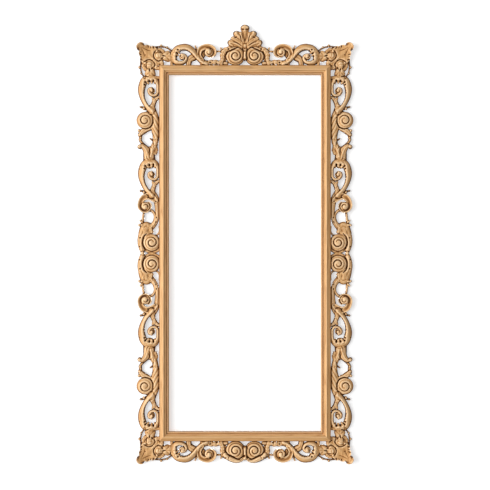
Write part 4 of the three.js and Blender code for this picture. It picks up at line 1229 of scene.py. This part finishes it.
def metal_material(name, metal, tarnish):
    ready = bpy.data.materials.get(name)
    if ready:
        return ready
    material, tree, shader, where = principled_material(name)
    shader.inputs["Metallic"].default_value = 1.0
    wear = group_node(tree, shared("Worn metal", worn_metal), (-200, 0), Metal=rgba(metal),
                      Tarnish=rgba(tarnish))
    tree.links.new(where, wear.inputs["Vector"])
    tree.links.new(wear.outputs["Color"], shader.inputs["Base Color"])
    tree.links.new(wear.outputs["Roughness"], shader.inputs["Roughness"])
    bumped(tree, wear.outputs["Height"], shader, 0.2, 0.0001)
    return material


def brass_material():
    metal = bpy.context.scene.mirror_frame_finishes.brass
    return metal_material("aged_brass", metal, [0.35 * metal[0], 0.30 * metal[1], 0.28 * metal[2]])


def steel_material():
    metal = bpy.context.scene.mirror_frame_finishes.steel
    return metal_material("zinc_steel", metal, [0.45 * value for value in metal])


# Moulding

def rail_profile(sizes):
    """[distance from the outer side, height above the back] points round the moulding, in millimetres."""
    width, depth, edge = sizes.rail_width / MM, sizes.rail_depth / MM, sizes.outer_edge / MM
    ridge, flat = sizes.ridge_from_edge / MM, sizes.ridge_width / MM
    fillet, fillet_high = sizes.fillet_from_edge / MM, sizes.fillet_height / MM
    quirk, sunk = sizes.quirk_from_edge / MM, sizes.quirk_depth / MM
    crown, rebate = sizes.bead_height / MM, sizes.rebate / MM
    crest, low = 0.45 * quirk + 0.55 * width, crown - 5.0
    points = [(0.0, 0.0), (0.0, edge - 4.0), (0.0, edge - 1.6), (0.5, edge - 0.4), (1.6, edge)]
    points += [(1.6 + (ridge - 2.4) * t, edge + (depth - 0.7 - edge) * t**1.3)
               for t in np.linspace(0, 1, 9)[1:]]
    points += [(ridge, depth), (ridge + flat, depth), (ridge + flat + 0.8, depth - 0.6)]
    points += [((1 - t) * (ridge + flat + 0.8) + t * fillet, (1 - t) * (depth - 0.6) + t * fillet_high)
               for t in (0.35, 0.7, 0.95)]
    points += [(fillet + 0.5, fillet_high - 0.1), (quirk - 2.6, fillet_high - 0.3),
               (quirk - 2.0, fillet_high - 0.9), (quirk - 1.6, fillet_high - sunk + 0.3),
               (quirk, fillet_high - sunk), (quirk + 1.6, fillet_high - sunk)]
    points += [(quirk + 1.9 + (crest - quirk - 1.9) * t,
                crown - (crown - fillet_high + sunk - 0.4) * (1 - t) ** 2) for t in np.linspace(0, 1, 6)]
    points += [(crest + (width - crest) * t, crown - (crown - low) * t**1.5)
               for t in np.linspace(0, 1, 7)[1:]]
    points += [(width, rebate), (width - rebate, rebate), (width - rebate, 0.0)]
    return np.array(points)


def profile_shading(profile, quirk):
    """The painted shade and highlight of each point of the moulding's profile, on the scale of the carving's
    tone: darker over the back and rebate, the outer edge, the quirk and the sight edge, paler along the bead
    and over high places.
    """
    out, high = profile.T
    close = smooth_line([(a, h, 1.0) for a, h in profile], 0.4)
    level = np.array([close[np.abs(close[:, 0] - a) < 3.0, 1].mean() for a in out])
    front, sight_edge = high > 11, out.max() - 1.6
    tones = np.where(front, 0.57 + 0.14 * (high - level), 0.36)
    tones[front & (out < 1.8)] = 0.30
    tones[np.abs(out - quirk) < 1.8] = 0.40
    tones[(out > quirk + 2.4) & (out < sight_edge)] = 0.70
    tones[front & (out > sight_edge)] = 0.30
    return np.clip(tones, 0.1, 0.70)


def moulding_body(half_length, half_across, sizes):
    """A rail along p with its outer side at q = half_across, mitred at both ends."""
    profile = rail_profile(sizes)
    # Painted shade and highlight across the profile
    hollows = profile_shading(profile, sizes.quirk_from_edge / MM)
    stops = np.linspace(-1, 1, 2 * round(half_length / 40) + 1)
    reach = half_length - FIT_GAP / 2 - profile[:, 0]
    sections = [np.stack([stop * reach, half_across - profile[:, 0], profile[:, 1], hollows], 1)
                for stop in stops]
    count = len(profile)
    last = (len(stops) - 1) * count
    end = np.arange(count)[None]
    rings = [band(start, start + count, count) for start in range(0, last, count)]
    return np.concatenate(sections), [*rings, end[:, ::-1], last + end]


def turned_upright(body):
    points, rings = body
    swapped = points.copy()
    swapped[:, 0], swapped[:, 1] = points[:, 1], points[:, 0]
    return swapped, [ring[:, ::-1] for ring in rings]


def add_rail(name, body, half, level, material):
    show(name, mirrored(name, body, half, level, MOULDING_SHARP), material)


# Hardware on the back

def lathe(profile, sides):
    """Points and rings of a turned body from [radius, height] points that start and end on the axis."""
    inner = profile[1:-1]
    angles = np.linspace(0, 2 * np.pi, sides, endpoint=False)
    points = [np.array([[0, 0, profile[0][1]]]), np.array([[0, 0, profile[-1][1]]])]
    points += [np.stack([r * np.cos(angles), r * np.sin(angles), np.full(sides, z)], 1) for r, z in inner]
    index = np.arange(sides)
    after = (index + 1) % sides
    rings = [np.stack([np.zeros(sides, int), 2 + index, 2 + after], 1)]
    last = 2 + (len(inner) - 1) * sides
    rings += [band(start + sides, start, sides) for start in range(2, last, sides)]
    rings.append(np.stack([np.ones(sides, int), last + after, last + index], 1))
    return np.concatenate(points), rings


def joined(*bodies):
    """Several bodies as one set of points and rings."""
    points, rings, count = [], [], 0
    for more, faces in bodies:
        points.append(more)
        rings += [ring + count for ring in faces]
        count += len(more)
    return np.concatenate(points), rings


def bevelled(outline, thickness, bevel, hole=None):
    """A plate inside a closed outline with rounded upper edges, its seat at height 0, and a round hole."""
    outline = np.array(outline, float)
    edge = np.roll(outline, -1, 0) - np.roll(outline, 1, 0)
    inward = np.stack([-edge[:, 1], edge[:, 0]], 1) / (np.linalg.norm(edge, axis=1)[:, None] + 1e-12)
    layers = [(0.12 * bevel, 0.0), (0.0, 0.2 * bevel), (0.0, thickness - bevel)]
    layers += [(bevel * (1 - math.cos(a)), thickness - bevel + bevel * math.sin(a))
               for a in (0.5, 1.0, math.pi / 2)]
    count = len(outline)
    points = [np.hstack([outline + inset * inward, np.full((count, 1), z)]) for inset, z in layers]
    if hole:
        x, y, radius = hole
        toward = np.arctan2(outline[:, 1] - y, outline[:, 0] - x)
        rim = np.stack([x + radius * np.cos(toward), y + radius * np.sin(toward)], 1)
        points += [np.hstack([rim, np.full((count, 1), z)]) for z in (thickness, 0.0)]
    last = (len(points) - 1) * count
    rings = [band(start, start + count, count) for start in range(0, last, count)]
    if hole:
        rings.append(band(last, 0, count))
    else:
        end = np.arange(count)[None]
        rings += [last + end, end[:, ::-1]]
    return np.concatenate(points), rings


def flat_screw(sizes):
    """A screw with a flat round head. It points towards negative heights from its head's seat at 0."""
    head, shank, deep = sizes.screw_head / MM, sizes.screw_shank / MM, sizes.screw_length / MM
    top = Turned([(0, 0, 1.05 * head)], lambda r, angle, radius: SCREW_HEAD_HEIGHT + 0 * r)
    disc = Piece((-1.2 * head, -1.2 * head), (1.2 * head, 1.2 * head), lambda p, q: head - np.hypot(p, q))
    points, rings = body_of(Relief(placed(list, [top]), disc, head / 22))
    tip = lathe([(0, -deep), (0.35 * shank, 0.4 - deep), (shank, 2 * shank - deep), (shank, 0.0), (0, 0.0)],
                16)
    return joined((points[:, :3], rings), tip)


def button_outline(sizes):
    """A turn button's outline round its screw, with its tip along +x."""
    heel, tip = sizes.button_heel / MM, sizes.button_tip / MM
    reach = sizes.button_reach / MM - tip
    lean = math.acos((heel - tip) / reach)
    outline = [(heel * math.cos(a), heel * math.sin(a)) for a in np.linspace(lean, 2 * math.pi - lean, 40)]
    outline += [(reach + tip * math.cos(a), tip * math.sin(a)) for a in np.linspace(-lean, lean, 24)]
    return outline


def behind(points, x, z, seat, turn):
    """Places points of a part on the back. Their height grows away from the back, from a seat behind it."""
    return np.stack([x + turn * points[:, 0], seat + points[:, 2], z + points[:, 1]], 1) * MM


def middle_of(name):
    low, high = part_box(name)
    return (low + high) / 2 / MM


def strap_body(sizes):
    """A hanger strap below its knuckle, which is centred on 0, with a rounded lower end."""
    half = sizes.strap_width / MM / 2
    thick = sizes.strap_thickness / MM
    drop = STRAP_LENGTH - half
    outline = [(half * math.cos(a), -drop + half * math.sin(a))
               for a in np.linspace(math.pi, 2 * math.pi, 25)]
    outline += [(half, 0.0), (-half, 0.0)]
    sides = 28
    angles = np.linspace(0, 2 * np.pi, sides, endpoint=False)
    bore, wall, eased = KNUCKLE_BORE, KNUCKLE_RADIUS, KNUCKLE_RADIUS - 0.35
    loops = [np.stack([np.full(sides, x), radius * np.cos(angles), wall + radius * np.sin(angles)], 1)
             for radius, x in ((wall, 0.4 - half), (wall, half - 0.4), (eased, half), (bore, half),
                               (bore, -half), (eased, -half))]
    rings = [band((k + 1) % len(loops) * sides, k * sides, sides) for k in range(len(loops))]
    return joined(bevelled(outline, thick, STRAP_BEVEL), (np.concatenate(loops), rings))


def ring_body(sizes):
    """A D-shaped ring of round wire that hangs from its straight side at 0."""
    half, drop, corner, wire_radius = RING_HALF, RING_DROP, RING_CORNER, sizes.ring_wire / MM
    path = [(t, 0.0) for t in np.linspace(-(half - corner), half - corner, 8)[:-1]]
    path += [(half - corner + corner * math.sin(a), -corner + corner * math.cos(a))
             for a in np.linspace(0, math.pi / 2, 8)[:-1]]
    path += [(half, y) for y in np.linspace(-corner, half - drop, 6)[:-1]]
    path += [(half * math.cos(a), half - drop - half * math.sin(a)) for a in np.linspace(0, math.pi, 40)[:-1]]
    path += [(-half, y) for y in np.linspace(half - drop, -corner, 6)[:-1]]
    path += [(-half + corner - corner * math.cos(a), -corner + corner * math.sin(a))
             for a in np.linspace(0, math.pi / 2, 8)[:-1]]
    path = np.array(path)
    heading = np.roll(path, -1, 0) - np.roll(path, 1, 0)
    heading /= np.linalg.norm(heading, axis=1)[:, None]
    across = np.stack([-heading[:, 1], heading[:, 0]], 1)
    sides, count = 14, len(path)
    angles = np.linspace(0, 2 * np.pi, sides, endpoint=False)
    points = np.concatenate([
        np.hstack([path[i] + wire_radius * np.cos(angles)[:, None] * across[i],
                   wire_radius * np.sin(angles)[:, None]]) for i in range(count)])
    return points, [band(i * sides, (i + 1) % count * sides, sides) for i in range(count)]


def add_hardware(name, body, x, z, seat, material, rides="frame", turn=1):
    points, rings = body
    rings = rings if turn < 0 else [ring[:, ::-1] for ring in rings]
    mesh = mesh_from(name, behind(points, x, z, seat, turn), rings, HARDWARE_SHARP)
    show(name, mesh, material, rides)


# Operators

class BuildOperator:
    """What all the build operators share."""

    bl_options = {"REGISTER", "UNDO"}

    def relief(self, strokes, piece):
        return body_of(Relief(strokes, piece, bpy.context.scene.mirror_frame_carving.fineness / MM))

    def heights(self):
        return Heights(bpy.context.scene.mirror_frame_carving)


class MIRRORFRAME_OT_moulding(BuildOperator, bpy.types.Operator):
    """Builds the four mitred rails of the moulding"""

    bl_idname = "mirror_frame.moulding"
    bl_label = "Moulding"

    def execute(self, context):
        sizes = context.scene.mirror_frame_moulding
        level_body = moulding_body(HALF_WIDTH, HALF_HEIGHT, sizes)
        upright_body = turned_upright(moulding_body(HALF_HEIGHT, HALF_WIDTH, sizes))
        for name, level in RAIL_LEVELS.items():
            add_rail(f"{name}_rail", level_body, 1, level, level_wood("moulding_level"))
        for name, half in HALVES.items():
            add_rail(f"{name}_stile", upright_body, half, 1, upright_wood("moulding_upright"))
        return {"FINISHED"}


class MIRRORFRAME_OT_side_scrolls(BuildOperator, bpy.types.Operator):
    """Builds the four scrolled runs beside the stiles"""

    bl_idname = "mirror_frame.side_scrolls"
    bl_label = "Side scrolls"

    def execute(self, context):
        high = self.heights()
        strokes = side_run_strokes(high) + side_medallion_strokes(high) + corner_strokes(high)
        body = self.relief(strokes, side_run_piece())
        for half_name, half in HALVES.items():
            for level_name, level in LEVELS.items():
                carve(f"{half_name}_{level_name}_scroll", body, half, level, upright_wood("carving_upright"))
        return {"FINISHED"}


class MIRRORFRAME_OT_side_medallions(BuildOperator, bpy.types.Operator):
    """Builds the double rosettes in the middle of the stiles"""

    bl_idname = "mirror_frame.side_medallions"
    bl_label = "Side medallions"

    def execute(self, context):
        high = self.heights()
        strokes = with_twins(side_run_strokes(high), over_level) + side_medallion_strokes(high)
        body = self.relief(strokes, side_medallion_piece())
        for half_name, half in HALVES.items():
            carve(f"{half_name}_medallion", body, half, 1, upright_wood("carving_upright"))
        return {"FINISHED"}


class MIRRORFRAME_OT_level_scrolls(BuildOperator, bpy.types.Operator):
    """Builds the scrolled runs above and below the opening"""

    bl_idname = "mirror_frame.level_scrolls"
    bl_label = "Top and bottom scrolls"

    def execute(self, context):
        high = self.heights()
        strokes = corner_strokes(high) + top_medallion_strokes(high, False) + top_run_strokes(high)
        body = self.relief(strokes, top_run_piece())
        for rail_name, level in RAIL_LEVELS.items():
            for half_name, half in HALVES.items():
                carve(f"{rail_name}_{half_name}_scroll", body, half, level, level_wood("carving_level"))
        return {"FINISHED"}


class MIRRORFRAME_OT_level_medallions(BuildOperator, bpy.types.Operator):
    """Builds the double rosettes above and below the opening"""

    bl_idname = "mirror_frame.level_medallions"
    bl_label = "Top and bottom medallions"

    def execute(self, context):
        high = self.heights()
        runs = with_twins(top_run_strokes(high), over_middle)
        for rail_name, level in RAIL_LEVELS.items():
            crested = level > 0
            strokes = runs + top_medallion_strokes(high, not crested)
            body = self.relief(strokes, top_medallion_piece(crested))
            carve(f"{rail_name}_medallion", body, 1, level, level_wood("carving_level"))
        return {"FINISHED"}


class MIRRORFRAME_OT_crest(BuildOperator, bpy.types.Operator):
    """Builds the palmette on top of the frame"""

    bl_idname = "mirror_frame.crest"
    bl_label = "Crest"

    def execute(self, context):
        body = self.relief(crest_strokes(self.heights()), crest_piece())
        carve("crest", body, 1, 1, upright_wood("carving_upright"))
        return {"FINISHED"}


class MIRRORFRAME_OT_corners(BuildOperator, bpy.types.Operator):
    """Builds the leafy corners over the mitres"""

    bl_idname = "mirror_frame.corners"
    bl_label = "Corners"

    def execute(self, context):
        high = self.heights()
        strokes = side_run_strokes(high) + top_run_strokes(high) + corner_strokes(high)
        body = self.relief(strokes, corner_piece())
        for half_name, half in HALVES.items():
            for level_name, level in LEVELS.items():
                carve(f"{half_name}_{level_name}_corner", body, half, level, upright_wood("carving_upright"))
        return {"FINISHED"}


class MIRRORFRAME_OT_turn_buttons(BuildOperator, bpy.types.Operator):
    """Builds the brass turn buttons that hold the glass, and their screws"""

    bl_idname = "mirror_frame.turn_buttons"
    bl_label = "Turn buttons"

    def execute(self, context):
        sizes = context.scene.mirror_frame_hardware
        hole = (0.0, 0.0, sizes.screw_shank / MM + FIT_GAP)
        button = bevelled(button_outline(sizes), sizes.button_thickness / MM, PLATE_BEVEL, hole)
        screw = flat_screw(sizes)
        for half_name in HALVES:
            for level in ("upper", "middle", "lower"):
                name = f"{half_name}_{level}_button"
                pivot = middle_of(f"{name}_screw")
                turn = 1 if middle_of(name).x > pivot.x else -1
                add_hardware(name, button, pivot.x, pivot.z, FIT_GAP, brass_material(), name, turn)
                seat = 2 * FIT_GAP + sizes.button_thickness / MM
                add_hardware(f"{name}_screw", screw, pivot.x, pivot.z, seat, brass_material())
        return {"FINISHED"}


class MIRRORFRAME_OT_hangers(BuildOperator, bpy.types.Operator):
    """Builds the strap hangers, their rings and their screws"""

    bl_idname = "mirror_frame.hangers"
    bl_label = "Hangers"

    def execute(self, context):
        sizes = context.scene.mirror_frame_hardware
        strap_part, ring_part = strap_body(sizes), ring_body(sizes)
        screw = flat_screw(sizes)
        for half_name in HALVES:
            name = f"{half_name}_hanger"
            x = middle_of(f"{name}_strap").x
            top = (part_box(f"{name}_ring")[1].z - sizes.ring_wire) / MM
            add_hardware(f"{name}_strap", strap_part, x, top, FIT_GAP, steel_material())
            axis = FIT_GAP + KNUCKLE_RADIUS
            add_hardware(f"{name}_ring", ring_part, x, top, axis, steel_material(), f"{name}_ring")
            pivot = middle_of(f"{name}_screw")
            seat = 2 * FIT_GAP + sizes.strap_thickness / MM
            add_hardware(f"{name}_screw", screw, pivot.x, pivot.z, seat, steel_material())
        return {"FINISHED"}


class MIRRORFRAME_OT_joinery(BuildOperator, bpy.types.Operator):
    """Finishes the dowels and splines that hold the frame together"""

    bl_idname = "mirror_frame.joinery"
    bl_label = "Dowels and splines"

    def execute(self, context):
        material = wood_material("joinery_wood", (1.0, 0.2, 1.0), joinery=True)
        for name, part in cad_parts.items():
            if name.endswith(("_dowel", "_spline")):
                part.data.materials.clear()
                part.data.materials.append(material)
        return {"FINISHED"}


def sheet(name, corners, material):
    mesh = bpy.data.meshes.new(name)
    mesh.from_pydata(corners, [], [(0, 1, 2, 3)])
    mesh.materials.append(material)
    made = bpy.data.objects.new(name, mesh)
    bpy.context.scene.collection.objects.link(made)
    made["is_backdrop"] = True


def light_path(tree, x):
    """The light path node, and whether the camera sees a place, also mirrored or through something clear."""
    path = node(tree, "ShaderNodeLightPath", (x, 0))
    passed_on = math_node(tree, "MAXIMUM", (x + 200, -150), path.outputs["Is Glossy Ray"],
                          path.outputs["Is Transmission Ray"])
    return path, math_node(tree, "MAXIMUM", (x + 350, 0), path.outputs["Is Camera Ray"], passed_on)


def stage_material(name, value):
    """A matt surface that is seen from its front only and lets the light of the lamps and the sky through."""
    material, tree, output = blank_material(name)
    matt = node(tree, "ShaderNodeBsdfDiffuse", (200, 100))
    matt.inputs["Color"].default_value = rgba(value)
    glow = node(tree, "ShaderNodeEmission", (200, -50))
    path, shown = light_path(tree, -600)
    tree.links.new(math_node(tree, "MULTIPLY", (0, -50), shown, STAGE_GLOW), glow.inputs["Strength"])
    both = node(tree, "ShaderNodeAddShader", (400, 50))
    clear = node(tree, "ShaderNodeBsdfTransparent", (400, -100))
    side = node(tree, "ShaderNodeNewGeometry", (-400, -300))
    passing = math_node(tree, "MAXIMUM", (0, -250), path.outputs["Is Shadow Ray"],
                        path.outputs["Is Diffuse Ray"])
    away = math_node(tree, "MAXIMUM", (200, -250), passing, side.outputs["Backfacing"])
    mix = node(tree, "ShaderNodeMixShader", (650, 0))
    tree.links.new(matt.outputs[0], both.inputs[0])
    tree.links.new(glow.outputs[0], both.inputs[1])
    tree.links.new(away, mix.inputs[0])
    tree.links.new(both.outputs[0], mix.inputs[1])
    tree.links.new(clear.outputs[0], mix.inputs[2])
    tree.links.new(mix.outputs[0], output.inputs["Surface"])
    return material


def area_lamp(name, place, target, power, size):
    lamp = bpy.data.lights.new(name, "AREA")
    lamp.shape = "RECTANGLE"
    lamp.size, lamp.size_y = size
    lamp.energy = power
    made = bpy.data.objects.new(name, lamp)
    made.location = place
    made.visible_camera = False
    made.rotation_euler = (Vector(target) - Vector(place)).to_track_quat("-Z", "Y").to_euler()
    bpy.context.scene.collection.objects.link(made)


class MIRRORFRAME_OT_stage(bpy.types.Operator):
    """Sets the backdrop, the floor, the lamps, the sky and the camera"""

    bl_idname = "mirror_frame.stage"
    bl_label = "Stage"

    def execute(self, context):
        scene = context.scene
        setting = scene.mirror_frame_stage
        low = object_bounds()[0]
        floor = low.z - setting.floor_drop
        wall = setting.wall_gap
        middle = Vector((0, 0, MIDDLE * MM))
        side = STAGE_HALF
        sheet("backdrop", [(-side, wall, floor), (side, wall, floor), (side, wall, STAGE_TOP),
                           (-side, wall, STAGE_TOP)], stage_material("backdrop_paint", setting.wall))
        sheet("floor", [(-side, STAGE_FRONT, floor), (side, STAGE_FRONT, floor), (side, wall, floor),
                        (-side, wall, floor)], stage_material("floor_paint", setting.floor))
        angle = setting.key_angle
        key = middle + Vector((-KEY_AWAY * math.sin(angle), -KEY_AWAY * math.cos(angle), KEY_RISE))
        area_lamp("key_lamp", key, middle, setting.key_power, KEY_SIZE)
        area_lamp("back_lamp", middle + Vector((0.0, BACK_AWAY, 0.0)), middle, setting.back_power, BACK_SIZE)
        self.sky(scene, setting.sky)
        camera = bpy.data.objects.new("camera", bpy.data.cameras.new("camera"))
        camera.data.sensor_width = SENSOR_WIDTH
        camera.data.lens = SENSOR_WIDTH * setting.camera_distance / setting.picture_width
        camera.location = (0, CAMERA_TARGET_Y - setting.camera_distance, MIDDLE * MM + CAMERA_RISE)
        camera.rotation_euler = (math.pi / 2, 0, 0)
        scene.collection.objects.link(camera)
        scene.camera = camera
        scene.view_settings.view_transform = "Standard"
        return {"FINISHED"}

    def sky(self, scene, strength):
        world = bpy.data.worlds.new("studio")
        scene.world = world
        world.use_nodes = True
        tree = world.node_tree
        tree.nodes.clear()
        shown = light_path(tree, -600)[1]
        bright = math_node(tree, "MULTIPLY_ADD", (-100, 0), shown, 1.0 - strength, strength)
        light = node(tree, "ShaderNodeBackground", (100, 0))
        tree.links.new(bright, light.inputs["Strength"])
        output = node(tree, "ShaderNodeOutputWorld", (300, 0))
        tree.links.new(light.outputs[0], output.inputs["Surface"])


BUILDERS = (MIRRORFRAME_OT_moulding, MIRRORFRAME_OT_corners, MIRRORFRAME_OT_side_scrolls,
            MIRRORFRAME_OT_side_medallions, MIRRORFRAME_OT_level_scrolls, MIRRORFRAME_OT_level_medallions,
            MIRRORFRAME_OT_crest, MIRRORFRAME_OT_turn_buttons, MIRRORFRAME_OT_hangers, MIRRORFRAME_OT_joinery,
            MIRRORFRAME_OT_stage)

SETTINGS = {"mirror_frame_moulding": MouldingSizes, "mirror_frame_carving": CarvingSizes,
            "mirror_frame_hardware": HardwareSizes, "mirror_frame_finishes": Finishes,
            "mirror_frame_stage": StageSettings}


class MIRRORFRAME_PT_panel(bpy.types.Panel):
    """Lists the pieces of the mirror frame and the settings that they use"""

    bl_idname = "MIRRORFRAME_PT_panel"
    bl_label = "Mirror frame"
    bl_space_type = "VIEW_3D"
    bl_region_type = "UI"
    bl_category = "Mirror frame"

    def draw(self, context):
        for builder in BUILDERS:
            self.layout.operator(builder.bl_idname)
        for name, settings in SETTINGS.items():
            box = self.layout.box()
            for title in settings.__annotations__:
                box.prop(getattr(context.scene, name), title)


CLASSES = (*SETTINGS.values(), *BUILDERS, MIRRORFRAME_PT_panel)


def register():
    for made in CLASSES:
        bpy.utils.register_class(made)
    for name, settings in SETTINGS.items():
        setattr(bpy.types.Scene, name, bpy.props.PointerProperty(type=settings))


def unregister():
    for name in SETTINGS:
        delattr(bpy.types.Scene, name)
    for made in reversed(CLASSES):
        bpy.utils.unregister_class(made)


def main():
    register()
    for builder in BUILDERS:
        group, name = builder.bl_idname.split(".")
        getattr(getattr(bpy.ops, group), name)()


if __name__ == "__main__":
    main()
